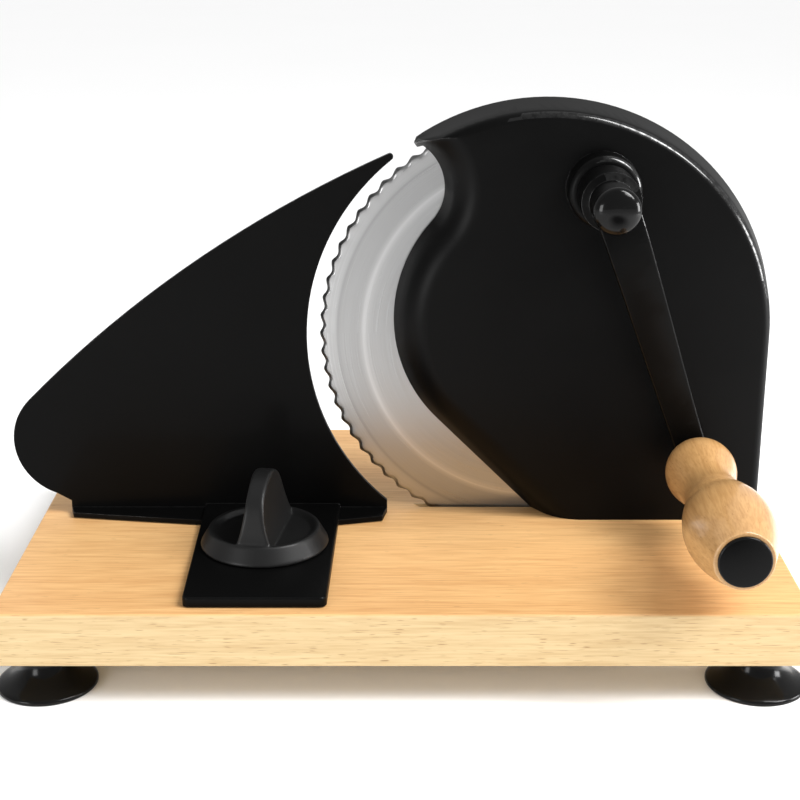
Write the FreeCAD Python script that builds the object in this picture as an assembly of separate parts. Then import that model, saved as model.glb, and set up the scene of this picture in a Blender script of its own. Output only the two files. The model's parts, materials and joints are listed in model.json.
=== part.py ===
import FreeCAD, Part
import os
from math import acos, atan2, cos, degrees, hypot, pi, radians, sin, sqrt, tan

from FreeCAD import Vector

os.makedirs("parts", exist_ok=True)

# Millimetres, +Z up, the crank towards -Y. The origin is on the ground, at the
# middle of the whole object's length and depth. Depths run back from the
# board's front edge, heights run up from its top.

# Board
board_length = 340.0
board_depth = 225.0
board_thickness = 24.0
board_corner_radius = 3.0
board_edge_round = 1.2
board_centre_x = 4.0
board_front_y = -100.5

# Suction feet
foot_height = 18.0
foot_rim_radius = 21.5
foot_rim_thickness = 2.4
foot_neck_radius = 9.5
foot_wall = 4.0
foot_inset_x = 17.5
foot_inset_y = 20.0
foot_screw_radius = 2.0
foot_screw_grip = 12.0
foot_washer_radius = 6.0
foot_washer_thickness = 1.0
screw_head_height = 2.5

# Blade and what clamps it
blade_radius = 100.5
blade_teeth = 72
blade_tooth_depth = 1.4
blade_thickness = 1.4
blade_bevel_width = 7.0
blade_edge_thickness = 0.4
blade_axis_offset = 62.5
blade_axis_height = 86.5
blade_front_depth = 116.4
blade_tip_clearance = 1.5
blade_side_clearance = 1.2
kerf_clearance = 3.0
blade_flange_radius = 20.0
blade_flange_thickness = 1.5
blade_spigot_radius = 7.0
blade_spigot_length = 2.4
drive_pin_radius = 2.0
drive_pin_circle = 13.0
clamp_disc_radius = 27.0
clamp_disc_thickness = 2.8
clamp_disc_edge = 1.2
blade_screw_radius = 2.5
blade_screw_head_radius = 5.0
blade_screw_length = 13.0

# Shafts, bushes and gears
shaft_radius = 5.0
shaft_flat = 1.0
bush_wall = 2.0
running_clearance = 0.05
side_gap = 0.4
gear_module = 2.0
crank_gear_teeth = 22
idler_gear_teeth = 17
blade_gear_teeth = 30
gear_width = 7.0
gear_hub_radius = 8.0
gear_front_gap = 2.0
gear_back_gap = 1.0
gear_backlash = 0.2
pressure_angle = 20.0
crank_distance = 76.0
crank_bearing = 70.4
idler_pin_radius = 3.0
bearing_boss_radius = 10.0
bearing_skin = 1.5

# Housing
housing_recess = 3.2
housing_radius = 105.6
housing_shift = 2.5
housing_wall = 3.0
rim_draft = 0.18
rim_round = 3.5
throat_draft = 0.5
throat_round = 8.0
lobe_radius = 71.6
lobe_rise = 5.0
notch_radius = 20.3
notch_bearing = 138.5
throat_foot_angle = 45.0
crank_boss_radius = 16.0
crank_boss_length = 14.0
crank_boss_round = 3.0
post_radius = 4.5
post_clearance = 1.0
plate_thickness = 2.5
plate_clearance = 0.3
plate_screw_radius = 1.5
plate_screw_length = 8.0
housing_screw_radius = 2.2
housing_screw_reach = 15.0
housing_post_height = 22.0
housing_washer_radius = 5.5
housing_washer_thickness = 1.0
screw_pocket_depth = 7.0

# Crank
hub_radius = 12.8
hub_front_radius = 9.6
hub_gap = 1.5
hub_length = 35.0
hub_pocket_radius = 7.0
hub_pocket_depth = 6.0
arm_length = 132.3
arm_angle = 69.6
arm_thickness = 6.0
arm_setback = 36.0
arm_hub_width = 18.5
arm_handle_width = 13.5
arm_edge_round = 0.8
cap_radius = 10.0
cap_height = 5.5
cap_plug = 2.0
crank_screw_radius = 2.5
crank_screw_length = 12.0

# Handle
spindle_radius = 3.5
spindle_stud_radius = 3.0
spindle_head_radius = 6.5
spindle_head_height = 4.0
spindle_nut_height = 3.0
grip_gap = 0.6
grip_length = 106.0
grip_back_radius = 9.5
grip_bead_radius = 15.8
grip_waist_radius = 11.4
grip_bulb_radius = 19.0
grip_front_radius = 12.4
grip_pocket_radius = 7.5
grip_pocket_depth = 12.0
end_cap_radius = 10.8
end_cap_height = 1.4
end_cap_plug = 5.0

# Fence
fence_blade_gap = 6.4
fence_thickness = 2.5
fence_arc_gap = 5.5
fence_tip_angle = 58.6
fence_tip_round = 1.5
fence_lobe_reach = 244.3
fence_lobe_radius = 28.0
fence_lobe_height = 36.5
fence_lobe_end = 250.0
fence_edge_radius = 560.0
fence_foot_reach = 219.2
fence_foot_height = 6.0
fence_lift = 0.4
fence_travel_in = 7.5
fence_travel_out = 10.5
flange_thickness = 2.6
flange_left_depth = 6.5
flange_right_depth = 10.5
flange_tab_depth = 15.5
tab_offset = 123.7
tab_thickness = 4.4
tab_front_depth = 6.0
tab_back_width = 64.0
tab_front_width = 60.0
tab_corner_radius = 3.0
tab_edge_round = 1.0
key_width = 7.4
key_length = 14.0
key_depth = 5.0
key_clearance = 0.3
key_depths = (28.0, 89.0)

# Knob and clamp bolt
knob_depth = 62.3
knob_radius = 28.5
knob_base_height = 8.0
knob_bevel = 4.0
knob_dish = 2.0
knob_height = 34.0
knob_turn = 8.0
wing_width = 8.9
wing_flare = 4.2
wing_shoulder_reach = 17.5
wing_shoulder_drop = 8.2
wing_end_inset = 1.5
wing_edge_round = 1.2
knob_gap = 0.3
insert_radius = 5.0
insert_height = 12.0
bolt_radius = 3.0
bolt_head_radius = 8.0
bolt_head_height = 4.0
bolt_clearance = 0.3

# Places that follow from the sizes above
board_top = foot_height + board_thickness
board_left_x = board_centre_x - board_length / 2
board_back_y = board_front_y + board_depth
blade_x = board_centre_x + blade_axis_offset
blade_z = board_top + blade_axis_height
blade_front_y = board_front_y + blade_front_depth
blade_back_y = blade_front_y + blade_thickness
flange_front_y = blade_front_y - blade_flange_thickness
plate_back_y = flange_front_y - side_gap
plate_front_y = plate_back_y - plate_thickness
gear_back_y = plate_front_y - gear_back_gap
gear_front_y = gear_back_y - gear_width
bearing_back_y = gear_front_y - 2 * side_gap
inner_wall_y = gear_front_y - gear_front_gap
housing_front_y = inner_wall_y - housing_wall
housing_back_y = blade_back_y + housing_recess
housing_x = blade_x + housing_shift
housing_z = blade_z + housing_shift
boss_front_y = housing_front_y - crank_boss_length
hub_back_y = boss_front_y - hub_gap
hub_front_y = hub_back_y - hub_length
arm_end_front_y = hub_front_y + arm_setback
arm_end_back_y = arm_end_front_y + arm_thickness
crank_x = blade_x + crank_distance * cos(radians(crank_bearing))
crank_z = blade_z + crank_distance * sin(radians(crank_bearing))
handle_x = crank_x + arm_length * cos(radians(arm_angle))
handle_z = crank_z - arm_length * sin(radians(arm_angle))
grip_back_y = arm_end_front_y - grip_gap
grip_front_y = grip_back_y - grip_length
fence_back_y = blade_front_y - fence_blade_gap
fence_front_y = fence_back_y - fence_thickness
fence_bottom = board_top + fence_lift
tab_x = blade_x - tab_offset
tab_top = fence_bottom + tab_thickness
knob_y = board_front_y + knob_depth
knob_bottom = tab_top + knob_gap


# Shared shapes

def rod(radius, x, z, y_start, y_end):
    return Part.makeCylinder(radius, y_end - y_start, Vector(x, y_start, z), Vector(0, 1, 0))


def ring(outer, inner, x, z, y_start, y_end):
    return rod(outer, x, z, y_start, y_end).cut(rod(inner, x, z, y_start, y_end))


def upright(radius, x, y, z_start, z_end):
    return Part.makeCylinder(radius, z_end - z_start, Vector(x, y, z_start))


def block(x_start, x_end, y_start, y_end, z_start, z_end):
    size = (x_end - x_start, y_end - y_start, z_end - z_start)
    return Part.makeBox(*size, Vector(x_start, y_start, z_start))


def polar(centre, radius, angle):
    return (centre[0] + radius * cos(radians(angle)), centre[1] + radius * sin(radians(angle)))


def crossing(centre_a, radius_a, centre_b, radius_b):
    """The crossing of two circles that lies clockwise of the line from a to b."""
    across, up = centre_b[0] - centre_a[0], centre_b[1] - centre_a[1]
    gap = hypot(across, up)
    along = (radius_a ** 2 - radius_b ** 2 + gap ** 2) / (2 * gap)
    turn = degrees(acos(along / radius_a))
    return polar(centre_a, radius_a, degrees(atan2(up, across)) - turn)


def upright_point(point, y):
    return Vector(point[0], y, point[1])


def line(start, end, y):
    return Part.LineSegment(upright_point(start, y), upright_point(end, y)).toShape()


def arc(start, middle, end, y):
    return Part.Arc(*(upright_point(point, y) for point in (start, middle, end))).toShape()


def spun(outline, base, axis):
    return Part.Face(Part.Wire(outline)).revolve(base, axis, 360)


def spun_about_y(profile, x, z):
    """Turns a closed outline of (y, radius) points about a level axis."""
    points = [Vector(x + radius, y, z) for y, radius in profile]
    return spun(Part.makePolygon(points + points[:1]), Vector(x, 0, z), Vector(0, 1, 0))


def spun_about_z(profile, x, y):
    """Turns a closed outline of (z, radius) points about an upright axis."""
    points = [Vector(x + radius, y, z) for z, radius in profile]
    return spun(Part.makePolygon(points + points[:1]), Vector(x, y, 0), Vector(0, 0, 1))


def hexagon_nut(across_flats, bore, x, z, y_start, y_end):
    corner = across_flats / sqrt(3)
    points = [upright_point(polar((x, z), corner, 60 * step), y_start) for step in range(7)]
    nut = Part.Face(Part.makePolygon(points)).extrude(Vector(0, y_end - y_start, 0))
    return nut.cut(rod(bore, x, z, y_start, y_end))


def edges_near(shape, test):
    return [edge for edge in shape.Edges if test(edge.CenterOfMass)]


# Board

def foot_places():
    left = board_left_x + foot_inset_x
    right = board_left_x + board_length - foot_inset_x
    front = board_front_y + foot_inset_y
    back = board_back_y - foot_inset_y
    return {
        "front_left": (left, front),
        "front_right": (right, front),
        "back_left": (left, back),
        "back_right": (right, back),
    }


def housing_screw_places():
    post_y = (inner_wall_y + plate_front_y) / 2
    start = housing_x + 0.24 * housing_radius
    step = (housing_radius - 16.0 - 0.24 * housing_radius) / 2
    return [(start + step * turn, post_y) for turn in range(3)]


def make_board():
    board = block(board_left_x, board_left_x + board_length, board_front_y, board_back_y,
                  foot_height, board_top)
    upright_edges = edges_near(board, lambda centre: abs(centre.z - (foot_height + board_top) / 2) < 0.1)
    board = board.makeFillet(board_corner_radius, upright_edges)
    rim_edges = edges_near(board, lambda centre: min(abs(centre.z - foot_height),
                                                     abs(centre.z - board_top)) < 0.1)
    board = board.makeFillet(board_edge_round, rim_edges)
    kerf = rod(blade_radius + kerf_clearance, blade_x, blade_z,
               blade_front_y - kerf_clearance / 2, blade_back_y + kerf_clearance / 2)
    board = board.cut(kerf)
    half = key_width / 2 + key_clearance
    groove_front = board_front_y + key_depths[0] - key_length / 2 - fence_travel_out - 1
    groove_back = board_front_y + key_depths[1] + key_length / 2 + fence_travel_in + 1
    groove_floor = fence_bottom - key_depth - key_clearance
    board = board.cut(block(tab_x - half, tab_x + half, groove_front, groove_back,
                            groove_floor, board_top))
    board = board.cut(upright(bolt_radius, tab_x, knob_y, foot_height, board_top))
    board = board.cut(upright(bolt_head_radius, tab_x, knob_y,
                              foot_height, foot_height + bolt_head_height + 1))
    for x, y in foot_places().values():
        board = board.cut(upright(foot_screw_radius, x, y, foot_height, foot_height + foot_screw_grip))
    for x, y in housing_screw_places():
        board = board.cut(upright(housing_screw_radius, x, y, foot_height, board_top))
        board = board.cut(upright(housing_washer_radius, x, y,
                                  foot_height, foot_height + screw_pocket_depth))
    return board


# Feet

def make_foot(x, y):
    flare_start = Vector(x + foot_neck_radius, y, foot_height * 0.72)
    flare_middle = Vector(x + foot_neck_radius + 3.0, y, foot_height * 0.36)
    flare_end = Vector(x + foot_rim_radius - 1.0, y, foot_rim_thickness)
    crown = foot_wall + foot_rim_thickness
    outline = [
        Part.LineSegment(Vector(x + foot_screw_radius, y, foot_height),
                         Vector(x + foot_neck_radius, y, foot_height)).toShape(),
        Part.LineSegment(Vector(x + foot_neck_radius, y, foot_height), flare_start).toShape(),
        Part.Arc(flare_start, flare_middle, flare_end).toShape(),
    ]
    under = [
        flare_end,
        Vector(x + foot_rim_radius, y, foot_rim_thickness * 0.6),
        Vector(x + foot_rim_radius, y, 0),
        Vector(x + foot_rim_radius - 2.0, y, 0),
        Vector(x + foot_washer_radius + 1.5, y, crown),
        Vector(x + foot_screw_radius, y, crown),
        Vector(x + foot_screw_radius, y, foot_height),
    ]
    outline += [Part.LineSegment(start, end).toShape() for start, end in zip(under, under[1:])]
    return spun(outline, Vector(x, y, 0), Vector(0, 0, 1))


def make_foot_washer(x, y):
    top = foot_wall + foot_rim_thickness
    washer = upright(foot_washer_radius, x, y, top - foot_washer_thickness, top)
    return washer.cut(upright(foot_screw_radius, x, y, 0, top))


def make_foot_screw(x, y):
    seat = foot_wall + foot_rim_thickness - foot_washer_thickness
    head = upright(foot_screw_radius * 2, x, y, seat - screw_head_height, seat)
    return head.fuse(upright(foot_screw_radius, x, y, seat, foot_height + foot_screw_grip))


# Housing

def housing_outline(rim_inset, throat_inset, floor_inset, y):
    """The arched cover seen from the front: right side, arch, notch, lobe and foot."""
    centre = (housing_x, housing_z)
    radius = housing_radius - rim_inset
    lobe_centre = (housing_x, housing_z + lobe_rise)
    lobe = lobe_radius - throat_inset
    notch_centre = polar(lobe_centre, lobe_radius + notch_radius, notch_bearing)
    notch = notch_radius + throat_inset
    floor = board_top + floor_inset
    tip = crossing(centre, radius, notch_centre, notch)
    arch_end = degrees(atan2(tip[1] - centre[1], tip[0] - centre[0]))
    notch_start = degrees(atan2(tip[1] - notch_centre[1], tip[0] - notch_centre[0]))
    notch_end = notch_bearing - 180
    lobe_end = 180 + throat_foot_angle
    joint = polar(lobe_centre, lobe, notch_bearing)
    foot = polar(lobe_centre, lobe, lobe_end)
    toe = (foot[0] + (foot[1] - floor) * tan(radians(throat_foot_angle)), floor)
    corner = (housing_x + radius, floor)
    shoulder = (housing_x + radius, housing_z)
    return Part.Wire([
        line(toe, corner, y),
        line(corner, shoulder, y),
        arc(shoulder, polar(centre, radius, arch_end / 2), tip, y),
        arc(tip, polar(notch_centre, notch, (notch_start + notch_end) / 2), joint, y),
        arc(joint, polar(lobe_centre, lobe, (notch_bearing + lobe_end) / 2), foot, y),
        line(foot, toe, y),
    ])


def rounding(radius, depth):
    """How far a rounded edge has drawn in at this depth behind its face."""
    if depth >= radius:
        return 0.0
    return radius - sqrt(radius ** 2 - (radius - depth) ** 2)


def shell_section(depth):
    back = housing_back_y - housing_front_y - depth
    rim_inset = rim_draft * back + rounding(rim_round, depth)
    throat_inset = throat_draft * back + rounding(throat_round, depth)
    return housing_outline(rim_inset, throat_inset, 0, housing_front_y + depth)


def cavity_insets(y):
    """Rim and throat insets of the space inside the cover; its corner stays thick."""
    back = max(housing_back_y - y, 0)
    slope = 0.65 / (housing_back_y - inner_wall_y)
    rim_inset = housing_wall + back * (rim_draft + rim_round * slope)
    throat_inset = housing_wall + back * (throat_draft + throat_round * slope)
    return rim_inset, throat_inset


def cavity_section(y):
    return housing_outline(*cavity_insets(y), housing_wall, y)


def plate_post_places():
    rim_inset, throat_inset = cavity_insets(inner_wall_y)
    rim_circle = housing_radius - rim_inset - post_radius - post_clearance
    lobe_circle = lobe_radius - throat_inset - post_radius - post_clearance
    lobe_centre = (housing_x, housing_z + lobe_rise)
    places = [polar((housing_x, housing_z), rim_circle, angle) for angle in (4, 48, 99)]
    places += [polar(lobe_centre, lobe_circle, angle) for angle in (163, 250)]
    places.append((housing_x + rim_circle, board_top + housing_post_height + 3 * post_radius))
    return places


def make_housing_shell():
    depths = [housing_back_y - housing_front_y]
    depths += [throat_round * (1 - sin(radians(angle))) for angle in (0, 25, 45, 62, 76, 90)]
    shell = Part.makeLoft([shell_section(depth) for depth in depths], True, True)
    boss = rod(crank_boss_radius, crank_x, crank_z, boss_front_y, inner_wall_y)
    boss_edge = edges_near(boss, lambda centre: abs(centre.y - boss_front_y) < 0.1)
    shell = shell.fuse(boss.makeFillet(crank_boss_round, boss_edge))
    cavity = Part.makeLoft([
        cavity_section(inner_wall_y),
        cavity_section(housing_back_y),
        cavity_section(housing_back_y + 1),
    ], True, True)
    shell = shell.cut(cavity)
    bosses = [rod(bearing_boss_radius, blade_x, blade_z, inner_wall_y, bearing_back_y)]
    idler_x, idler_z = idler_place()
    bosses.append(rod(idler_pin_radius + 3, idler_x, idler_z, inner_wall_y, bearing_back_y))
    bosses += [rod(post_radius, x, z, inner_wall_y, plate_front_y) for x, z in plate_post_places()]
    bosses += [upright(post_radius, x, y, board_top + housing_wall, board_top + housing_post_height)
               for x, y in housing_screw_places()]
    for boss in bosses:
        shell = shell.fuse(boss)
    shell = shell.removeSplitter()
    shell = shell.cut(rod(blade_radius + blade_tip_clearance, blade_x, blade_z,
                          blade_front_y - blade_side_clearance, housing_back_y + 1))
    bush_radius = shaft_radius + running_clearance + bush_wall
    shell = shell.cut(rod(bush_radius, crank_x, crank_z, boss_front_y, inner_wall_y))
    shell = shell.cut(rod(bush_radius, blade_x, blade_z,
                          housing_front_y + bearing_skin, gear_front_y))
    shell = shell.cut(rod(idler_pin_radius, idler_x, idler_z,
                          housing_front_y + bearing_skin, gear_front_y))
    for x, z in plate_post_places():
        shell = shell.cut(rod(plate_screw_radius, x, z,
                              plate_back_y - plate_screw_length, plate_front_y))
    for x, y in housing_screw_places():
        shell = shell.cut(upright(housing_screw_radius, x, y, board_top,
                                  board_top + housing_screw_reach))
    return shell


def make_bearing_plate():
    rim_inset, throat_inset = cavity_insets(plate_front_y)
    outline = housing_outline(rim_inset + plate_clearance, throat_inset + plate_clearance,
                              housing_wall + plate_clearance, plate_front_y)
    plate = Part.Face(outline).extrude(Vector(0, plate_thickness, 0))
    bush_radius = shaft_radius + running_clearance + bush_wall
    plate = plate.cut(rod(bush_radius, crank_x, crank_z, plate_front_y, plate_back_y))
    plate = plate.cut(rod(bush_radius, blade_x, blade_z, plate_front_y, plate_back_y))
    idler_x, idler_z = idler_place()
    plate = plate.cut(rod(idler_pin_radius, idler_x, idler_z, plate_front_y, plate_back_y))
    for x, z in plate_post_places():
        plate = plate.cut(make_plate_screw(x, z))
    return plate


def make_plate_screw(x, z):
    """A countersunk screw, its head level with the plate's back face."""
    start = plate_back_y - plate_screw_length
    head_depth = plate_screw_radius * 1.1
    profile = [
        (start, 0),
        (start, plate_screw_radius),
        (plate_back_y - head_depth, plate_screw_radius),
        (plate_back_y, plate_screw_radius + head_depth),
        (plate_back_y, 0),
    ]
    return spun_about_y(profile, x, z)


def make_housing_screw(x, y):
    seat = foot_height + screw_pocket_depth - housing_washer_thickness
    head = upright(housing_screw_radius * 2, x, y, seat - screw_head_height, seat)
    return head.fuse(upright(housing_screw_radius, x, y, seat, board_top + housing_screw_reach))


def make_housing_washer(x, y):
    top = foot_height + screw_pocket_depth
    washer = upright(housing_washer_radius, x, y, top - housing_washer_thickness, top)
    return washer.cut(upright(housing_screw_radius, x, y, foot_height, top))


def make_bush(x, z, y_start, y_end):
    bore = shaft_radius + running_clearance
    return ring(bore + bush_wall, bore, x, z, y_start, y_end)


# Gears

def idler_place():
    """The idler sits right of the line from blade to crank, in mesh with both."""
    to_blade = gear_module * (blade_gear_teeth + idler_gear_teeth) / 2
    to_crank = gear_module * (crank_gear_teeth + idler_gear_teeth) / 2
    return crossing((blade_x, blade_z), to_blade, (crank_x, crank_z), to_crank)


def heading(start, end):
    return degrees(atan2(end[1] - start[1], end[0] - start[0]))


def involute_turn(angle):
    return tan(angle) - angle


def gear_outline(teeth, centre, first_tooth, y):
    """Involute flanks as arcs through three points; first_tooth is a tooth's heading."""
    pitch_radius = gear_module * teeth / 2
    base_radius = pitch_radius * cos(radians(pressure_angle))
    tip_radius = pitch_radius + gear_module
    root_radius = pitch_radius - 1.25 * gear_module
    half_pitch_tooth = pi / (2 * teeth) - gear_backlash / (2 * pitch_radius)
    half_base = half_pitch_tooth + involute_turn(radians(pressure_angle))

    def flank(radius):
        return degrees(half_base - involute_turn(acos(min(base_radius / radius, 1))))

    middle_radius = (base_radius + tip_radius) / 2
    pitch = 360 / teeth
    edges = []
    for tooth in range(teeth):
        axis = first_tooth + tooth * pitch
        spots = {
            "root_in": polar(centre, root_radius, axis - flank(base_radius)),
            "base_in": polar(centre, base_radius, axis - flank(base_radius)),
            "mid_in": polar(centre, middle_radius, axis - flank(middle_radius)),
            "tip_in": polar(centre, tip_radius, axis - flank(tip_radius)),
            "tip_out": polar(centre, tip_radius, axis + flank(tip_radius)),
            "mid_out": polar(centre, middle_radius, axis + flank(middle_radius)),
            "base_out": polar(centre, base_radius, axis + flank(base_radius)),
            "root_out": polar(centre, root_radius, axis + flank(base_radius)),
        }
        valley = polar(centre, root_radius, axis + pitch / 2)
        next_root = polar(centre, root_radius, axis + pitch - flank(base_radius))
        edges += [
            line(spots["root_in"], spots["base_in"], y),
            arc(spots["base_in"], spots["mid_in"], spots["tip_in"], y),
            line(spots["tip_in"], spots["tip_out"], y),
            arc(spots["tip_out"], spots["mid_out"], spots["base_out"], y),
            line(spots["base_out"], spots["root_out"], y),
            arc(spots["root_out"], valley, next_root, y),
        ]
    return Part.Wire(edges)


def make_gear(teeth, centre, first_tooth, bore, hub_radius):
    outline = gear_outline(teeth, centre, first_tooth, gear_front_y)
    gear = Part.Face(outline).extrude(Vector(0, gear_width, 0))
    if hub_radius > 0:
        gear = gear.fuse(rod(hub_radius, *centre, gear_front_y - side_gap / 2, gear_front_y))
    return gear.cut(rod(bore, *centre, gear_front_y - gear_front_gap, gear_back_y))


def gear_headings():
    """A heading of one tooth on each gear, so that all three mesh at rest."""
    crank, idler, blade = (crank_x, crank_z), idler_place(), (blade_x, blade_z)
    crank_tooth = heading(crank, idler)
    idler_tooth = heading(idler, crank) + 180 / idler_gear_teeth
    toward_blade = heading(idler, blade)
    lead = (idler_tooth - toward_blade) * idler_gear_teeth / blade_gear_teeth
    blade_tooth = heading(blade, idler) - lead + 180 / blade_gear_teeth
    return crank_tooth, idler_tooth, blade_tooth


# Blade

def blade_outline(y):
    """A ring of shallow scallops that meet in points on the tip circle."""
    centre = (blade_x, blade_z)
    pitch = 360 / blade_teeth
    edges = []
    for tooth in range(blade_teeth):
        start = polar(centre, blade_radius, tooth * pitch)
        middle = polar(centre, blade_radius - blade_tooth_depth, (tooth + 0.5) * pitch)
        end = polar(centre, blade_radius, (tooth + 1) * pitch)
        edges.append(arc(start, middle, end, y))
    return Part.Wire(edges)


def drive_pin_places():
    return [polar((blade_x, blade_z), drive_pin_circle, angle) for angle in (0, 180)]


def make_blade():
    blade = Part.Face(blade_outline(blade_front_y)).extrude(Vector(0, blade_thickness, 0))
    ground_from = blade_radius - blade_bevel_width
    envelope = spun_about_y([
        (blade_back_y, 0),
        (blade_back_y, blade_radius + 1),
        (blade_back_y - blade_edge_thickness, blade_radius + 1),
        (blade_front_y, ground_from),
        (blade_front_y, 0),
    ], blade_x, blade_z)
    blade = blade.common(envelope)
    blade = blade.cut(rod(blade_spigot_radius, blade_x, blade_z, blade_front_y, blade_back_y))
    for x, z in drive_pin_places():
        blade = blade.cut(rod(drive_pin_radius, x, z, blade_front_y, blade_back_y))
    return blade


def make_blade_shaft():
    end_y = blade_front_y + blade_spigot_length
    start_y = housing_front_y + bearing_skin + side_gap
    shaft = spun_about_y([
        (start_y, 0),
        (start_y, shaft_radius),
        (flange_front_y, shaft_radius),
        (flange_front_y, blade_flange_radius),
        (blade_front_y, blade_flange_radius),
        (blade_front_y, blade_spigot_radius),
        (end_y, blade_spigot_radius),
        (end_y, 0),
    ], blade_x, blade_z)
    shaft = shaft.cut(make_blade_screw())
    for x, z in drive_pin_places():
        shaft = shaft.cut(rod(drive_pin_radius, x, z, flange_front_y, blade_front_y))
    return shaft


def make_blade_screw():
    """Countersunk, level with the clamp disc's back face."""
    back = blade_back_y + clamp_disc_thickness
    start = back - blade_screw_length
    head_depth = blade_screw_head_radius - blade_screw_radius
    return spun_about_y([
        (start, 0),
        (start, blade_screw_radius),
        (back - head_depth, blade_screw_radius),
        (back, blade_screw_head_radius),
        (back, 0),
    ], blade_x, blade_z)


def make_drive_pin(x, z):
    return rod(drive_pin_radius, x, z, blade_front_y - blade_flange_thickness,
               blade_back_y + clamp_disc_edge)


def make_clamp_disc():
    back = blade_back_y + clamp_disc_thickness
    disc = spun_about_y([
        (blade_back_y, 0),
        (blade_back_y, clamp_disc_radius),
        (blade_back_y + clamp_disc_edge, clamp_disc_radius),
        (back, clamp_disc_radius * 0.72),
        (back, 0),
    ], blade_x, blade_z)
    disc = disc.cut(rod(blade_spigot_radius, blade_x, blade_z, blade_back_y,
                        blade_front_y + blade_spigot_length))
    for x, z in drive_pin_places():
        disc = disc.cut(make_drive_pin(x, z))
    return disc.cut(make_blade_screw())


# Crank

def shaft_with_flat(radius, y_start, y_end):
    """The driven end of the crank shaft, with one flat on the handle's side."""
    shaft = rod(radius, crank_x, crank_z, y_start, y_end)
    flat_z = crank_z - radius + shaft_flat
    flat = block(crank_x - radius, crank_x + radius, y_start, y_end, crank_z - 2 * radius, flat_z)
    return shaft.cut(flat)


def make_crank_shaft():
    pocket_y = hub_front_y + hub_pocket_depth
    shaft = shaft_with_flat(shaft_radius, pocket_y + side_gap, hub_back_y)
    shaft = shaft.fuse(rod(shaft_radius, crank_x, crank_z, hub_back_y, plate_back_y))
    return shaft.cut(make_crank_screw())


def make_crank_screw():
    """A hex head in the hub's pocket, its thread in the end of the shaft."""
    seat_y = hub_front_y + hub_pocket_depth - housing_washer_thickness
    head = hexagon_nut(8.0, 0.5, crank_x, crank_z, seat_y - screw_head_height, seat_y)
    shank = rod(crank_screw_radius, crank_x, crank_z, seat_y - screw_head_height,
                seat_y + crank_screw_length)
    return head.fuse(shank)


def make_crank_washer():
    end_y = hub_front_y + hub_pocket_depth
    return ring(hub_pocket_radius - 0.5, crank_screw_radius, crank_x, crank_z,
                end_y - housing_washer_thickness, end_y)


def arm_side_profile():
    """The arm from above: level at the hub, swept back, level again at the handle."""
    bend = 0.16 * arm_length
    level = 0.07 * arm_length

    def edge(offset):
        front = hub_front_y + offset
        back = arm_end_front_y + offset
        start = Vector(level, front, 0)
        end = Vector(arm_length - level, back, 0)
        curve = Part.BezierCurve()
        curve.setPoles([start, start + Vector(bend, 0, 0), end - Vector(bend, 0, 0), end])
        near = Vector(-hub_radius, front, 0)
        far = Vector(arm_length + hub_radius, back, 0)
        return near, curve, far, start, end

    front_near, front_curve, front_far, front_start, front_end = edge(0)
    back_near, back_curve, back_far, back_start, back_end = edge(arm_thickness)
    outline = [
        Part.LineSegment(front_near, front_start).toShape(),
        front_curve.toShape(),
        Part.LineSegment(front_end, front_far).toShape(),
        Part.LineSegment(front_far, back_far).toShape(),
        Part.LineSegment(back_far, back_end).toShape(),
        back_curve.toShape(),
        Part.LineSegment(back_start, back_near).toShape(),
        Part.LineSegment(back_near, front_near).toShape(),
    ]
    face = Part.Face(Part.Wire(outline))
    face.translate(Vector(0, 0, -hub_radius))
    return face.extrude(Vector(0, 0, 2 * hub_radius))


def arm_front_profile():
    """The arm from the front: tapered sides and a round end at the handle."""
    y_start = hub_front_y
    y_end = arm_end_back_y
    points = [
        Vector(0, y_start, -arm_hub_width / 2),
        Vector(arm_length, y_start, -arm_handle_width / 2),
        Vector(arm_length, y_start, arm_handle_width / 2),
        Vector(0, y_start, arm_hub_width / 2),
    ]
    bar = Part.Face(Part.makePolygon(points + points[:1])).extrude(Vector(0, y_end - y_start, 0))
    bar = bar.fuse(rod(arm_handle_width / 2, arm_length, 0, y_start, y_end))
    return bar.fuse(rod(arm_hub_width / 2, 0, 0, y_start, y_end))


def make_crank_arm():
    bar = arm_front_profile().common(arm_side_profile())
    bar = bar.removeSplitter()
    long_edges = [edge for edge in bar.Edges if edge.Length > arm_length / 3]
    bar = bar.makeFillet(arm_edge_round, long_edges)
    bar.rotate(Vector(0, 0, 0), Vector(0, 1, 0), arm_angle)
    bar.translate(Vector(crank_x, 0, crank_z))
    step_y = (hub_front_y + hub_back_y) / 2
    hub = spun_about_y([
        (hub_back_y, 0),
        (hub_back_y, hub_radius),
        (step_y, hub_radius),
        (step_y - 1, hub_front_radius),
        (hub_front_y + 1, hub_front_radius),
        (hub_front_y, hub_front_radius - 1),
        (hub_front_y, 0),
    ], crank_x, crank_z)
    arm = bar.fuse(hub).removeSplitter()
    arm = arm.cut(rod(hub_pocket_radius, crank_x, crank_z, hub_front_y,
                      hub_front_y + hub_pocket_depth))
    arm = arm.cut(shaft_with_flat(shaft_radius, hub_front_y, hub_back_y))
    return arm.cut(rod(spindle_stud_radius, handle_x, handle_z, arm_end_front_y, arm_end_back_y))


def make_crank_cap():
    """A domed cap that plugs into the hub's pocket."""
    dome_radius = (cap_radius ** 2 + cap_height ** 2) / (2 * cap_height)
    centre_y = hub_front_y - cap_height + dome_radius
    dome = Part.makeSphere(dome_radius, Vector(crank_x, centre_y, crank_z))
    cap = rod(cap_radius, crank_x, crank_z, hub_front_y - cap_height, hub_front_y).common(dome)
    return cap.fuse(rod(hub_pocket_radius, crank_x, crank_z, hub_front_y, hub_front_y + cap_plug))


# Handle

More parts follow.
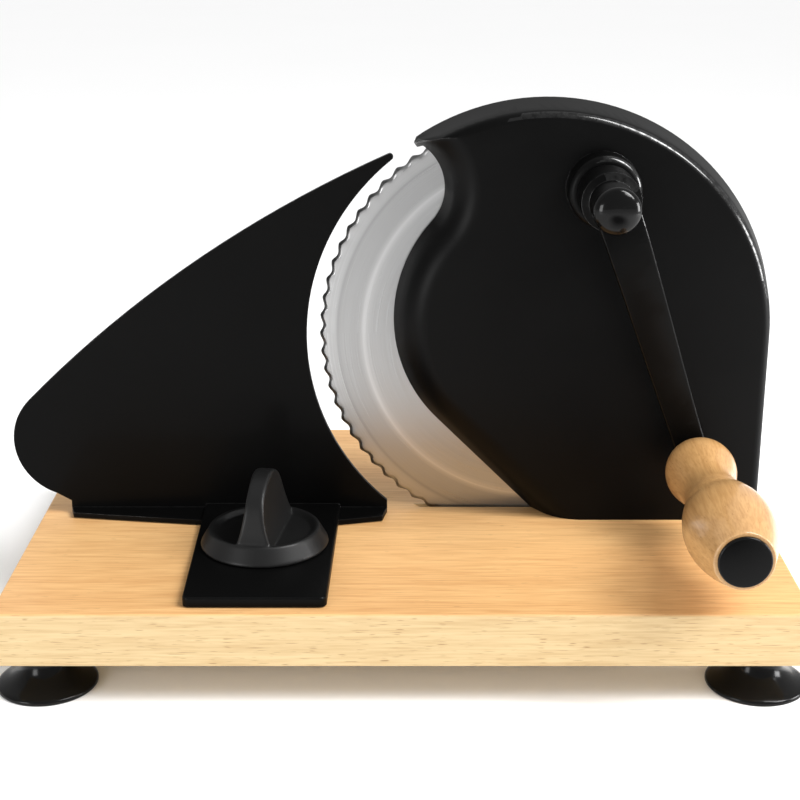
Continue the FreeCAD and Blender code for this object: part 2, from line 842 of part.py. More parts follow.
def make_spindle():
    head_back_y = grip_front_y + grip_pocket_depth - side_gap
    profile = [
        (head_back_y - spindle_head_height, 0),
        (head_back_y - spindle_head_height, spindle_head_radius),
        (head_back_y, spindle_head_radius),
        (head_back_y, spindle_radius),
        (arm_end_front_y, spindle_radius),
        (arm_end_front_y, spindle_stud_radius),
        (arm_end_back_y + spindle_nut_height, spindle_stud_radius),
        (arm_end_back_y + spindle_nut_height, 0),
    ]
    return spun_about_y(profile, handle_x, handle_z)


def make_spindle_nut():
    return hexagon_nut(10.0, spindle_stud_radius, handle_x, handle_z,
                       arm_end_back_y, arm_end_back_y + spindle_nut_height)


def make_grip():
    """Turned wood: a bead at the arm, a waist, and a bulb towards the hand's end."""
    stations = [
        (0.00, grip_back_radius),
        (0.03, grip_back_radius + 0.65 * (grip_bead_radius - grip_back_radius)),
        (0.11, grip_bead_radius),
        (0.34, grip_waist_radius),
        (0.50, grip_waist_radius + 0.60 * (grip_bulb_radius - grip_waist_radius)),
        (0.70, grip_bulb_radius),
        (0.87, grip_bulb_radius - 0.35 * (grip_bulb_radius - grip_front_radius)),
        (1.00, grip_front_radius),
    ]
    points = [Vector(handle_x + radius, grip_back_y - share * grip_length, handle_z)
              for share, radius in stations]
    curve = Part.BSplineCurve()
    curve.interpolate(points)
    bore = spindle_radius + running_clearance
    corners = [
        points[-1],
        Vector(handle_x + bore, grip_front_y, handle_z),
        Vector(handle_x + bore, grip_back_y, handle_z),
        points[0],
    ]
    outline = [curve.toShape()]
    outline += [Part.LineSegment(start, end).toShape() for start, end in zip(corners, corners[1:])]
    grip = spun(outline, Vector(handle_x, 0, handle_z), Vector(0, 1, 0))
    return grip.cut(rod(grip_pocket_radius, handle_x, handle_z, grip_front_y,
                        grip_front_y + grip_pocket_depth))


def make_end_cap():
    cap = rod(end_cap_radius, handle_x, handle_z, grip_front_y - end_cap_height, grip_front_y)
    edge = edges_near(cap, lambda centre: abs(centre.y - grip_front_y + end_cap_height) < 0.1)
    cap = cap.makeFillet(end_cap_height * 0.6, edge)
    return cap.fuse(rod(grip_pocket_radius, handle_x, handle_z, grip_front_y,
                        grip_front_y + end_cap_plug))


# Fence

def fence_outline(y):
    """The wing: an arc around the blade, a rising edge and a round left end."""
    blade_centre = (blade_x, blade_z)
    arc_radius = blade_radius + fence_arc_gap
    foot_top = fence_bottom + fence_foot_height

    def on_arc(height):
        return (blade_x - sqrt(arc_radius ** 2 - (height - blade_z) ** 2), height)

    tip = polar(blade_centre, arc_radius, 180 - fence_tip_angle)
    heel = on_arc(foot_top)
    lobe_centre = (blade_x - fence_lobe_reach + fence_lobe_radius, board_top + fence_lobe_height)
    edge_centre = crossing(lobe_centre, fence_edge_radius - fence_lobe_radius, tip, fence_edge_radius)
    edge_end_angle = heading(edge_centre, lobe_centre)
    edge_end = polar(edge_centre, fence_edge_radius, edge_end_angle)
    edge_middle = polar(edge_centre, fence_edge_radius,
                        (edge_end_angle + heading(edge_centre, tip)) / 2)
    lobe_end = polar(lobe_centre, fence_lobe_radius, fence_lobe_end)
    lobe_middle = polar(lobe_centre, fence_lobe_radius, (edge_end_angle + fence_lobe_end) / 2)
    foot_x = blade_x - fence_foot_reach
    arc_middle = polar(blade_centre, arc_radius,
                       (heading(blade_centre, tip) + heading(blade_centre, heel) + 360) / 2)
    return Part.Wire([
        arc(tip, edge_middle, edge_end, y),
        arc(edge_end, lobe_middle, lobe_end, y),
        line(lobe_end, (foot_x, foot_top), y),
        line((foot_x, foot_top), (foot_x, fence_bottom), y),
        line((foot_x, fence_bottom), (heel[0], fence_bottom), y),
        line((heel[0], fence_bottom), heel, y),
        arc(heel, arc_middle, tip, y),
    ]), tip, heel


def level_plate(points, z, thickness):
    corners = [Vector(x, y, z) for x, y in points]
    return Part.Face(Part.makePolygon(corners + corners[:1])).extrude(Vector(0, 0, thickness))


def make_fence():
    outline, tip, heel = fence_outline(fence_front_y)
    plate = Part.Face(outline).extrude(Vector(0, fence_thickness, 0))
    tip_edge = edges_near(plate, lambda centre: hypot(centre.x - tip[0], centre.z - tip[1]) < 0.1)
    plate = plate.makeFillet(fence_tip_round, tip_edge)
    left = blade_x - fence_foot_reach
    right = heel[0]
    tab_left, tab_right = tab_x - tab_back_width / 2, tab_x + tab_back_width / 2
    flange = level_plate([
        (left, fence_back_y),
        (left, fence_front_y),
        (left + 2, fence_front_y - flange_left_depth),
        (tab_left, fence_front_y - flange_tab_depth),
        (tab_right, fence_front_y - flange_tab_depth),
        (right - 2, fence_front_y - flange_right_depth),
        (right, fence_front_y),
        (right, fence_back_y),
    ], fence_bottom, flange_thickness)
    tab_front_y = board_front_y + tab_front_depth
    tab = level_plate([
        (tab_left, fence_back_y),
        (tab_x - tab_front_width / 2, tab_front_y),
        (tab_x + tab_front_width / 2, tab_front_y),
        (tab_right, fence_back_y),
    ], fence_bottom, tab_thickness)
    corners = edges_near(tab, lambda centre: centre.y - tab_front_y < 0.1
                         and abs(abs(centre.x - tab_x) - tab_front_width / 2) < 0.1
                         and abs(centre.z - fence_bottom - tab_thickness / 2) < 0.1)
    tab = tab.makeFillet(tab_corner_radius, corners)
    top_edges = edges_near(tab, lambda centre: abs(centre.z - tab_top) < 0.1
                           and centre.y < fence_front_y)
    tab = tab.makeFillet(tab_edge_round, top_edges)
    fence = plate.fuse(flange).fuse(tab).removeSplitter()
    slot_radius = bolt_radius + bolt_clearance
    slot_front_y = knob_y - fence_travel_in
    slot_back_y = knob_y + fence_travel_out
    slot = block(tab_x - slot_radius, tab_x + slot_radius, slot_front_y, slot_back_y,
                 fence_bottom, tab_top)
    for y in (slot_front_y, slot_back_y):
        slot = slot.fuse(upright(slot_radius, tab_x, y, fence_bottom, tab_top))
    return fence.cut(slot)


def make_guide_key(depth):
    middle = board_front_y + depth
    half = key_width / 2
    return block(tab_x - half, tab_x + half, middle - key_length / 2, middle + key_length / 2,
                 fence_bottom - key_depth, fence_bottom)


# Knob

def curve_through(points):
    curve = Part.BSplineCurve()
    curve.interpolate(points)
    return curve.toShape()


def make_wing():
    """The knob's wing, along Y: an arched top, steep ends and sides that flare at the disc."""
    root = knob_bottom + knob_base_height - knob_dish - 1
    crest = knob_bottom + knob_height
    shoulder = crest - wing_shoulder_drop
    reach = knob_radius - knob_bevel - wing_end_inset
    arch = [
        (reach, root),
        ((reach + wing_shoulder_reach) / 2 + 1, (root + shoulder) / 2 + 2),
        (wing_shoulder_reach, shoulder),
        (wing_shoulder_reach / 2, crest - wing_shoulder_drop / 4),
        (0, crest),
    ]
    arch += [(-y, z) for y, z in reversed(arch[:-1])]
    half = reach + 1
    side = Part.Wire([
        curve_through([Vector(-half, y, z) for y, z in arch]),
        Part.makeLine(Vector(-half, -reach, root), Vector(-half, reach, root)),
    ])
    hump = Part.Face(side).extrude(Vector(2 * half, 0, 0))
    foot, top = wing_width / 2 + wing_flare, wing_width / 2
    middle = (top + 0.7, root + 0.4 * (crest - root))
    front = Part.Wire([
        arc((foot, root), middle, (top, crest + 1), -half),
        line((top, crest + 1), (-top, crest + 1), -half),
        arc((-top, crest + 1), (-middle[0], middle[1]), (-foot, root), -half),
        line((-foot, root), (foot, root), -half),
    ])
    wing = hump.common(Part.Face(front).extrude(Vector(0, 2 * half, 0)))
    ridges = edges_near(wing, lambda centre: abs(centre.x) > top * 0.9
                        and centre.z > (root + crest) / 2)
    return wing.makeFillet(wing_edge_round, ridges)


def make_knob():
    """A bevelled, dished disc with an upright wing across it."""
    base_top = knob_bottom + knob_base_height
    base = spun_about_z([
        (knob_bottom, 0),
        (knob_bottom, knob_radius),
        (knob_bottom + 1, knob_radius),
        (base_top, knob_radius - knob_bevel),
        (base_top, knob_radius - knob_bevel - 1.5),
        (base_top - knob_dish, knob_radius - knob_bevel - 4),
        (base_top - knob_dish, 0),
    ], 0, 0)
    knob = base.fuse(make_wing())
    knob.rotate(Vector(0, 0, 0), Vector(0, 0, 1), -knob_turn)
    knob.translate(Vector(tab_x, knob_y, 0))
    knob = knob.cut(upright(insert_radius, tab_x, knob_y, knob_bottom, knob_bottom + insert_height))
    return knob.cut(upright(bolt_radius + bolt_clearance, tab_x, knob_y,
                            knob_bottom, knob_bottom + insert_height + 4))


def make_insert():
    insert = upright(insert_radius, tab_x, knob_y, knob_bottom, knob_bottom + insert_height)
    return insert.cut(upright(bolt_radius + running_clearance, tab_x, knob_y,
                              knob_bottom, knob_bottom + insert_height))


def make_clamp_bolt():
    head_bottom = foot_height + 1
    head_top = head_bottom + bolt_head_height
    head = upright(bolt_head_radius, tab_x, knob_y, head_bottom, head_top)
    return head.fuse(upright(bolt_radius, tab_x, knob_y, head_top, knob_bottom + insert_height + 2))


# One file per piece

def group(shapes):
    return Part.makeCompound(list(shapes))


def make_pieces():
    crank, blade, idler = (crank_x, crank_z), (blade_x, blade_z), idler_place()
    crank_tooth, idler_tooth, blade_tooth = gear_headings()
    feet = foot_places()
    pieces = {f"suction_foot_{name}": make_foot(x, y) for name, (x, y) in feet.items()}
    pieces.update({
        "base_board": make_board(),
        "foot_screws": group(make_foot_screw(x, y) for x, y in feet.values()),
        "foot_washers": group(make_foot_washer(x, y) for x, y in feet.values()),
        "housing_shell": make_housing_shell(),
        "bearing_plate": make_bearing_plate(),
        "plate_screws": group(make_plate_screw(x, z) for x, z in plate_post_places()),
        "housing_screws": group(make_housing_screw(x, y) for x, y in housing_screw_places()),
        "housing_washers": group(make_housing_washer(x, y) for x, y in housing_screw_places()),
        "crank_front_bush": make_bush(*crank, boss_front_y, inner_wall_y),
        "crank_rear_bush": make_bush(*crank, plate_front_y, plate_back_y),
        "blade_front_bush": make_bush(*blade, housing_front_y + bearing_skin, bearing_back_y),
        "blade_rear_bush": make_bush(*blade, plate_front_y, plate_back_y),
        "idler_pin": rod(idler_pin_radius, *idler, housing_front_y + bearing_skin, plate_back_y),
        "clamp_bolt": make_clamp_bolt(),
        "blade": make_blade(),
        "blade_shaft": make_blade_shaft(),
        "blade_gear": make_gear(blade_gear_teeth, blade, blade_tooth, shaft_radius, gear_hub_radius),
        "blade_drive_pins": group(make_drive_pin(x, z) for x, z in drive_pin_places()),
        "blade_clamp_disc": make_clamp_disc(),
        "blade_screw": make_blade_screw(),
        "idler_gear": make_gear(idler_gear_teeth, idler, idler_tooth,
                                idler_pin_radius + running_clearance, 0),
        "crank_shaft": make_crank_shaft(),
        "crank_gear": make_gear(crank_gear_teeth, crank, crank_tooth, shaft_radius, gear_hub_radius),
        "crank_arm": make_crank_arm(),
        "crank_screw": make_crank_screw(),
        "crank_washer": make_crank_washer(),
        "crank_cap": make_crank_cap(),
        "handle_spindle": make_spindle(),
        "spindle_nut": make_spindle_nut(),
        "handle_grip": make_grip(),
        "handle_end_cap": make_end_cap(),
        "fence_plate": make_fence(),
        "guide_keys": group(make_guide_key(depth) for depth in key_depths),
        "fence_knob": make_knob(),
        "knob_insert": make_insert(),
    })
    return pieces


for name, shape in make_pieces().items():
    shape.exportStep(f"parts/{name}.step")
    print(name, len(shape.Solids), shape.isValid(), round(shape.Volume, 1))
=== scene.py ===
import bmesh
import bpy
import json
from math import cos, pi, radians, sin
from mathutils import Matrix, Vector


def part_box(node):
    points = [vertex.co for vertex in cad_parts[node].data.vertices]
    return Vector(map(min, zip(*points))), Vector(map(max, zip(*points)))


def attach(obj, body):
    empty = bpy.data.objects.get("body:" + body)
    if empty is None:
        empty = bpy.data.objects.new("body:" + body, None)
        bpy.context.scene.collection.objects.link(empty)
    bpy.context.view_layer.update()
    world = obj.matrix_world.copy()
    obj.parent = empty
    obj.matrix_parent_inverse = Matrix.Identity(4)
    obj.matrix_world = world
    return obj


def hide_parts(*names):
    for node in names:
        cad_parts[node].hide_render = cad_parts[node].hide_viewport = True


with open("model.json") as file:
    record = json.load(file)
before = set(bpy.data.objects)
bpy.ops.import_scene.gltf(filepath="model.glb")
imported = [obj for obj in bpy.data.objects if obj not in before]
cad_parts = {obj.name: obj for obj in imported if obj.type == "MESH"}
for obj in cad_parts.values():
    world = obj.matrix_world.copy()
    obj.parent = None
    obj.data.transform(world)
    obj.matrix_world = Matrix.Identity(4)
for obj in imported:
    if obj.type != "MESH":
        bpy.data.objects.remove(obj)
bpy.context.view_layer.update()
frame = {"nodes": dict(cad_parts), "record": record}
nodes = frame["nodes"]
mm = 0.001  # in metres, the unit of every mesh
weldReach = 2e-6  # points nearer to each other than this, in metres, are one
print("frame loaded,", len(nodes), "nodes")

# Camera where the photograph was taken from

cameraView = {
    "place": (0.0040, -0.67898, 0.33183),
    "pitchDown": 18.765,
    "lens": 70.2,
    "filmWidth": 36,
    "shiftX": -0.0021,
}


def addObject(name, data):
    added = bpy.data.objects.new(name, data)
    bpy.context.scene.collection.objects.link(added)
    return added


def addCamera():
    data = bpy.data.cameras.new("photoCamera")
    data.lens = cameraView["lens"]
    data.sensor_width = cameraView["filmWidth"]
    data.shift_x = cameraView["shiftX"]
    camera = addObject("photoCamera", data)
    camera.location = cameraView["place"]
    camera.rotation_euler = (radians(90 - cameraView["pitchDown"]), 0, 0)
    bpy.context.scene.camera = camera


addCamera()

# Node helpers, so that each finish below reads as a short list


def addNode(tree, kind, inputs=None, **settings):
    node = tree.nodes.new(kind)
    for name, value in settings.items():
        setattr(node, name, value)
    for socket, value in (inputs or {}).items():
        if isinstance(value, bpy.types.NodeSocket):
            tree.links.new(value, node.inputs[socket])
        else:
            node.inputs[socket].default_value = value
    return node


def mathNode(tree, operation, *values, clamp=False):
    node = addNode(tree, "ShaderNodeMath", dict(enumerate(values)), operation=operation)
    node.use_clamp = clamp
    return node.outputs[0]


def times(tree, first, second, clamp=False):
    return mathNode(tree, "MULTIPLY", first, second, clamp=clamp)


def plus(tree, first, second, clamp=False):
    return mathNode(tree, "ADD", first, second, clamp=clamp)


def minus(tree, first, second):
    return mathNode(tree, "SUBTRACT", first, second)


def mixColour(tree, factor, first, second):
    node = addNode(tree, "ShaderNodeMix", {0: factor, 6: first, 7: second}, data_type="RGBA")
    return node.outputs[2]


noiseRange = (0.3, 0.7)  # nearly all of a noise's values lie in it


def spread(tree, value, low, high, newLow=0.0, newHigh=1.0):
    node = addNode(tree, "ShaderNodeMapRange",
                   {0: value, 1: low, 2: high, 3: newLow, 4: newHigh})
    return node.outputs[0]


def noise(tree, vector, scale, detail=2.0, roughness=0.5):
    node = addNode(tree, "ShaderNodeTexNoise",
                   {"Vector": vector, "Scale": scale, "Detail": detail, "Roughness": roughness})
    return node.outputs[0]


def stretched(tree, vector, scale):
    node = addNode(tree, "ShaderNodeMapping", {"Vector": vector, "Scale": scale})
    return node.outputs[0]


def newGroup(name, inputs, outputs):
    tree = bpy.data.node_groups.new(name, "ShaderNodeTree")
    for label, kind, value in inputs:
        socket = tree.interface.new_socket(name=label, in_out="INPUT", socket_type=kind)
        if value is not None:
            socket.default_value = value
    for label, kind in outputs:
        tree.interface.new_socket(name=label, in_out="OUTPUT", socket_type=kind)
    start = tree.nodes.new("NodeGroupInput").outputs
    end = tree.nodes.new("NodeGroupOutput").inputs
    return tree, start, end


def placeGroup(tree, group, inputs):
    return addNode(tree, "ShaderNodeGroup", inputs, node_tree=group).outputs


wearPattern = {
    "apart": (0.10, 0.40),  # between the two normals, where wear starts and where it is full
    "patches": (0.38, 0.55),
    "leastBroken": 0.35,
}


def buildEdgeWearAndGlint():
    # rubbed along every edge, where a rounded normal leaves the true one, broken up by noise
    tree, start, end = newGroup("edgeWear", [
        ("Vector", "NodeSocketVector", None),
        ("Amount", "NodeSocketFloat", 0.5),
        ("Edge Width", "NodeSocketFloat", 0.0006),
        ("Patch Scale", "NodeSocketFloat", 400.0),
    ], [("Mask", "NodeSocketFloat"), ("Broken", "NodeSocketFloat")])
    rounded = addNode(tree, "ShaderNodeBevel", {"Radius": start["Edge Width"]}, samples=4)
    true = addNode(tree, "ShaderNodeNewGeometry")
    apart = addNode(tree, "ShaderNodeVectorMath", {
        0: rounded.outputs[0], 1: true.outputs["Normal"],
    }, operation="DISTANCE").outputs["Value"]
    patches = noise(tree, start["Vector"], start["Patch Scale"], 3.0)
    patches = spread(tree, patches, *wearPattern["patches"])
    mask = times(tree, spread(tree, apart, *wearPattern["apart"]), patches)
    tree.links.new(times(tree, mask, start["Amount"], clamp=True), end["Mask"])
    # faces of an edge that is broken in the mesh carry this attribute, and so do faces turned
    # towards the lamps, where it paints a glint
    broken = addNode(tree, "ShaderNodeAttribute", attribute_name="brokenEdge").outputs["Fac"]
    patchy = spread(tree, patches, 0.0, 1.0, wearPattern["leastBroken"], 1.0)
    tree.links.new(times(tree, broken, patchy), end["Broken"])
    return tree


skinPattern = {"coarseScale": 0.22, "fineShare": 0.6, "coarseShare": 0.4}


def buildFineGrain():
    # the fine skin of a moulded or coated surface, with slow changes across it
    tree, start, end = newGroup("fineGrain", [
        ("Vector", "NodeSocketVector", None),
        ("Grain Scale", "NodeSocketFloat", 1500.0),
        ("Cloud Scale", "NodeSocketFloat", 18.0),
    ], [("Height", "NodeSocketFloat"), ("Clouds", "NodeSocketFloat")])
    fine = noise(tree, start["Vector"], start["Grain Scale"], 1.0)
    coarseScale = times(tree, start["Grain Scale"], skinPattern["coarseScale"])
    coarse = noise(tree, start["Vector"], coarseScale, 2.0)
    height = plus(tree, times(tree, fine, skinPattern["fineShare"]),
                  times(tree, coarse, skinPattern["coarseShare"]))
    tree.links.new(height, end["Height"])
    clouds = noise(tree, start["Vector"], start["Cloud Scale"], 3.0, 0.6)
    tree.links.new(spread(tree, clouds, *noiseRange), end["Clouds"])
    return tree


woodPattern = {
    "bandStretch": (0.028, 1.0, 1.0), "bandTone": 0.40,
    "bendStretch": (0.35, 1, 1), "bendScale": 6.0, "bendY": 0.010, "bendZ": 0.004,
    "fibreTone": 0.35, "fibreHeight": 0.5,
    "lineStretch": (0.05, 1.0, 1.0), "lineScale": 1150.0, "lineRange": (0.38, 0.75),
    "lineTone": 0.45,
    "poreStretch": (0.07, 1.0, 1.0), "poreScale": 2400.0, "poreLimit": 0.80, "poreGain": 0.2,
    "poreSharpness": 9.0, "poreTone": 0.75,
}


def buildWoodGrain():
    # fibres run along X: slow bands, fine fibres and short dark pores
    tree, start, end = newGroup("woodGrain", [
        ("Vector", "NodeSocketVector", None),
        ("Band Scale", "NodeSocketFloat", 26.0),
        ("Fibre Scale", "NodeSocketFloat", 420.0),
        ("Pore Share", "NodeSocketFloat", 0.3),
        ("Pale", "NodeSocketColor", (0.8, 0.6, 0.35, 1)),
        ("Deep", "NodeSocketColor", (0.6, 0.4, 0.2, 1)),
        ("Pore Colour", "NodeSocketColor", (0.25, 0.13, 0.05, 1)),
    ], [("Colour", "NodeSocketColor"), ("Height", "NodeSocketFloat"), ("Pores", "NodeSocketFloat")])
    w, vector = woodPattern, start["Vector"]
    bend = noise(tree, stretched(tree, vector, w["bendStretch"]), w["bendScale"], 1.0)
    lift = addNode(tree, "ShaderNodeCombineXYZ", {
        1: times(tree, bend, w["bendY"]), 2: times(tree, bend, w["bendZ"]),
    }).outputs[0]
    flow = addNode(tree, "ShaderNodeVectorMath", {
        0: stretched(tree, vector, w["bandStretch"]), 1: lift,
    }, operation="ADD").outputs[0]
    bands = noise(tree, flow, start["Band Scale"], 3.0, 0.55)
    fibres = noise(tree, flow, start["Fibre Scale"], 3.0, 0.6)
    lines = noise(tree, stretched(tree, vector, w["lineStretch"]), w["lineScale"], 1.0)
    dashes = noise(tree, stretched(tree, vector, w["poreStretch"]), w["poreScale"], 0.0)
    limit = minus(tree, w["poreLimit"], times(tree, start["Pore Share"], w["poreGain"]))
    pores = times(tree, minus(tree, dashes, limit), w["poreSharpness"], clamp=True)
    tone = plus(tree, times(tree, spread(tree, bands, *noiseRange), w["bandTone"]),
                times(tree, spread(tree, fibres, *noiseRange), w["fibreTone"]))
    tone = plus(tree, tone, times(tree, spread(tree, lines, *w["lineRange"]), w["lineTone"]))
    colour = mixColour(tree, tone, start["Pale"], start["Deep"])
    colour = mixColour(tree, times(tree, pores, w["poreTone"]), colour, start["Pore Colour"])
    height = minus(tree, times(tree, fibres, w["fibreHeight"]), pores)
    tree.links.new(colour, end["Colour"])
    tree.links.new(height, end["Height"])
    tree.links.new(pores, end["Pores"])
    return tree


ringPattern = {"aroundScale": 0.8, "detail": 4.0, "roughness": 0.7}


def buildTurnedRings():
    # fine rings round a level axis, as a lathe or a grinding wheel leaves them
    tree, start, end = newGroup("turnedRings", [
        ("Vector", "NodeSocketVector", None),
        ("Axis X", "NodeSocketFloat", 0.0),
        ("Axis Z", "NodeSocketFloat", 0.0),
        ("Ring Scale", "NodeSocketFloat", 900.0),
    ], [("Radius", "NodeSocketFloat"), ("Rings", "NodeSocketFloat"), ("Height", "NodeSocketFloat")])
    parts = addNode(tree, "ShaderNodeSeparateXYZ", {0: start["Vector"]}).outputs
    across = minus(tree, parts[0], start["Axis X"])
    up = minus(tree, parts[2], start["Axis Z"])
    squares = plus(tree, times(tree, across, across), times(tree, up, up))
    radius = mathNode(tree, "SQRT", squares)
    turn = mathNode(tree, "ARCTAN2", up, across)
    lines = addNode(tree, "ShaderNodeCombineXYZ", {
        0: times(tree, radius, start["Ring Scale"]),
        1: times(tree, turn, ringPattern["aroundScale"]),
    }).outputs[0]
    rings = noise(tree, lines, 1.0, ringPattern["detail"], ringPattern["roughness"])
    tree.links.new(radius, end["Radius"])
    tree.links.new(spread(tree, rings, *noiseRange), end["Rings"])
    tree.links.new(rings, end["Height"])
    return tree


edgeWear = buildEdgeWearAndGlint()
fineGrain = buildFineGrain()
woodGrain = buildWoodGrain()
turnedRings = buildTurnedRings()
print("shared node groups built")

# Materials


def startMaterial(name):
    material = bpy.data.materials.new(name)
    material.use_nodes = True
    tree = material.node_tree
    shader = tree.nodes["Principled BSDF"]
    place = addNode(tree, "ShaderNodeTexCoord").outputs["Object"]
    return material, tree, shader, place


def addBump(tree, shader, height, strength, distance):
    bump = addNode(tree, "ShaderNodeBump",
                   {"Height": height, "Strength": strength, "Distance": distance})
    tree.links.new(bump.outputs[0], shader.inputs["Normal"])


def grey(value):
    return (value, value, value, 1.0)


coatedSkin = {
    "cloudTint": 0.25, "roughSpread": (0.95, 1.06), "wornRoughness": 0.12, "wornShine": 1.6,
    "grainDepth": 0.0002,
}


def coatedFinish(name, colour, worn, roughness, gloss, grainScale, grainHeight, wear,
                 coat=0.0, coatRoughness=0.12, glint=0.0):
    # a painted, moulded or rubber surface; gloss is the shader's specular level
    material, tree, shader, place = startMaterial(name)
    grain = placeGroup(tree, fineGrain, {"Vector": place, "Grain Scale": grainScale})
    rubbed = placeGroup(tree, edgeWear, {"Vector": place, "Amount": wear})
    wearing = rubbed["Mask"]
    tint = times(tree, grain["Clouds"], coatedSkin["cloudTint"])
    varied = mixColour(tree, tint, grey(colour), grey(worn))
    tree.links.new(mixColour(tree, wearing, varied, grey(worn)), shader.inputs["Base Color"])
    smoothest, roughest = coatedSkin["roughSpread"]
    rough = spread(tree, grain["Clouds"], 0.0, 1.0, roughness * smoothest, roughness * roughest)
    rough = plus(tree, rough, times(tree, wearing, coatedSkin["wornRoughness"]))
    tree.links.new(rough, shader.inputs["Roughness"])
    shader.inputs["Specular IOR Level"].default_value = gloss
    # edges rubbed smooth shine more than the faces
    shine = plus(tree, coat, times(tree, wearing, coatedSkin["wornShine"]))
    # painted glint: more coat on the marked faces, which are the bevels and the faces turned
    # towards the lamps
    shine = plus(tree, shine, times(tree, rubbed["Broken"], glint), clamp=True)
    tree.links.new(shine, shader.inputs["Coat Weight"])
    shader.inputs["Coat Roughness"].default_value = coatRoughness
    addBump(tree, shader, grain["Height"], grainHeight, coatedSkin["grainDepth"])
    return material


metalSkin = {
    "lineScale": (60.0, 900.0, 900.0), "grainScale": 900.0, "cloudScale": 60.0, "cloudTint": 0.5,
    "wear": 0.2, "worn": grey(0.85), "roughSpread": (0.75, 1.3),
    "lineHeight": 0.12, "lineDepth": 0.0001,
}


def metalFinish(name, colour, dark, roughness):
    # drawn or rolled metal, with fine lines along X
    m = metalSkin
    material, tree, shader, place = startMaterial(name)
    lines = noise(tree, stretched(tree, place, m["lineScale"]), 1.0, 3.0, 0.6)
    clouds = placeGroup(tree, fineGrain, {
        "Vector": place, "Grain Scale": m["grainScale"], "Cloud Scale": m["cloudScale"],
    })["Clouds"]
    wearing = placeGroup(tree, edgeWear, {"Vector": place, "Amount": m["wear"]})["Mask"]
    mixed = mixColour(tree, times(tree, clouds, m["cloudTint"]), colour, dark)
    tree.links.new(mixColour(tree, wearing, mixed, m["worn"]), shader.inputs["Base Color"])
    smoothest, roughest = m["roughSpread"]
    rough = spread(tree, lines, *noiseRange, roughness * smoothest, roughness * roughest)
    tree.links.new(rough, shader.inputs["Roughness"])
    shader.inputs["Metallic"].default_value = 1.0
    addBump(tree, shader, lines, m["lineHeight"], m["lineDepth"])
    return material


rubbedWood = (0.95, 0.80, 0.55, 1)  # edges of the board and the grip
boardLook = {
    "topPale": (0.82, 0.51, 0.225, 1), "topDeep": (0.56, 0.285, 0.105, 1), "topPores": 0.18,
    "sidePale": (0.70, 0.540, 0.300, 1), "sideDeep": (0.52, 0.355, 0.170, 1), "sidePores": 0.55,
    "topFacing": (0.3, 0.9), "poreColour": (0.30, 0.17, 0.07, 1), "wear": 0.35,
    "roughness": 0.42, "poreRoughness": 0.25, "gloss": 0.4,
    "grainHeight": 0.25, "grainDepth": 0.0003,
}


def boardWood():
    # the faces round the board are cut and paler than its oiled top
    b = boardLook
    material, tree, shader, place = startMaterial("boardWood")
    facing = addNode(tree, "ShaderNodeNewGeometry").outputs["Normal"]
    up = addNode(tree, "ShaderNodeSeparateXYZ", {0: facing}).outputs[2]
    top = spread(tree, up, *b["topFacing"])
    grain = placeGroup(tree, woodGrain, {
        "Vector": place,
        "Pale": mixColour(tree, top, b["sidePale"], b["topPale"]),
        "Deep": mixColour(tree, top, b["sideDeep"], b["topDeep"]),
        "Pore Colour": b["poreColour"],
        "Pore Share": spread(tree, top, 0.0, 1.0, b["sidePores"], b["topPores"]),
    })
    wearing = placeGroup(tree, edgeWear, {"Vector": place, "Amount": b["wear"]})["Mask"]
    rubbed = mixColour(tree, wearing, grain["Colour"], rubbedWood)
    tree.links.new(rubbed, shader.inputs["Base Color"])
    rough = plus(tree, b["roughness"], times(tree, grain["Pores"], b["poreRoughness"]))
    tree.links.new(rough, shader.inputs["Roughness"])
    shader.inputs["Specular IOR Level"].default_value = b["gloss"]
    addBump(tree, shader, grain["Height"], b["grainHeight"], b["grainDepth"])
    return material


gripLook = {
    "pale": (0.56, 0.325, 0.130, 1), "deep": (0.36, 0.18, 0.058, 1), "bandScale": 40.0,
    "poreColour": (0.30, 0.15, 0.05, 1), "poreShare": 0.3, "wear": 0.2,
    "roughness": 0.35, "poreRoughness": 0.3, "lacquer": 0.6, "lacquerRoughness": 0.12,
    "grainHeight": 0.15, "grainDepth": 0.0002,
}


def gripWood():
    # the grip's fibres run along it, so the pattern is turned from X to Y
    g = gripLook
    material, tree, shader, place = startMaterial("gripWood")
    turned = addNode(tree, "ShaderNodeMapping", {"Vector": place, "Rotation": (0, 0, radians(90))})
    grain = placeGroup(tree, woodGrain, {
        "Vector": turned.outputs[0], "Pale": g["pale"], "Deep": g["deep"],
        "Pore Colour": g["poreColour"], "Band Scale": g["bandScale"], "Pore Share": g["poreShare"],
    })
    wearing = placeGroup(tree, edgeWear, {"Vector": place, "Amount": g["wear"]})["Mask"]
    rubbed = mixColour(tree, wearing, grain["Colour"], rubbedWood)
    tree.links.new(rubbed, shader.inputs["Base Color"])
    rough = plus(tree, g["roughness"], times(tree, grain["Pores"], g["poreRoughness"]))
    tree.links.new(rough, shader.inputs["Roughness"])
    shader.inputs["Coat Weight"].default_value = g["lacquer"]
    shader.inputs["Coat Roughness"].default_value = g["lacquerRoughness"]
    addBump(tree, shader, grain["Height"], g["grainHeight"], g["grainDepth"])
    return material


bladeLook = {
    "axis": (0.0665, 0.1285),
    "radius": 0.1005,
    "ringScale": 2600.0,
    "dark": grey(0.30),
    "streaks": 0.28,
    "roughness": 0.32,
    "roughSpread": (0.8, 1.25),
    "ringHeight": 0.2,
    "ringDepth": 0.0001,
    "bands": [  # share of the radius, brightness
        # the stops below 0.765 grow darker towards the centre, painted shade near the housing's
        # throat; the two last stops are painted shade on the narrow edge bevel
        (0.0, 0.38), (0.69, 0.41), (0.765, 0.44), (0.785, 0.51), (0.798, 0.60), (0.806, 0.49),
        (0.825, 0.40), (0.905, 0.41), (0.917, 0.35), (0.928, 0.46), (0.945, 0.49), (0.978, 0.49),
        (0.986, 0.22), (1.0, 0.20),
    ],
}


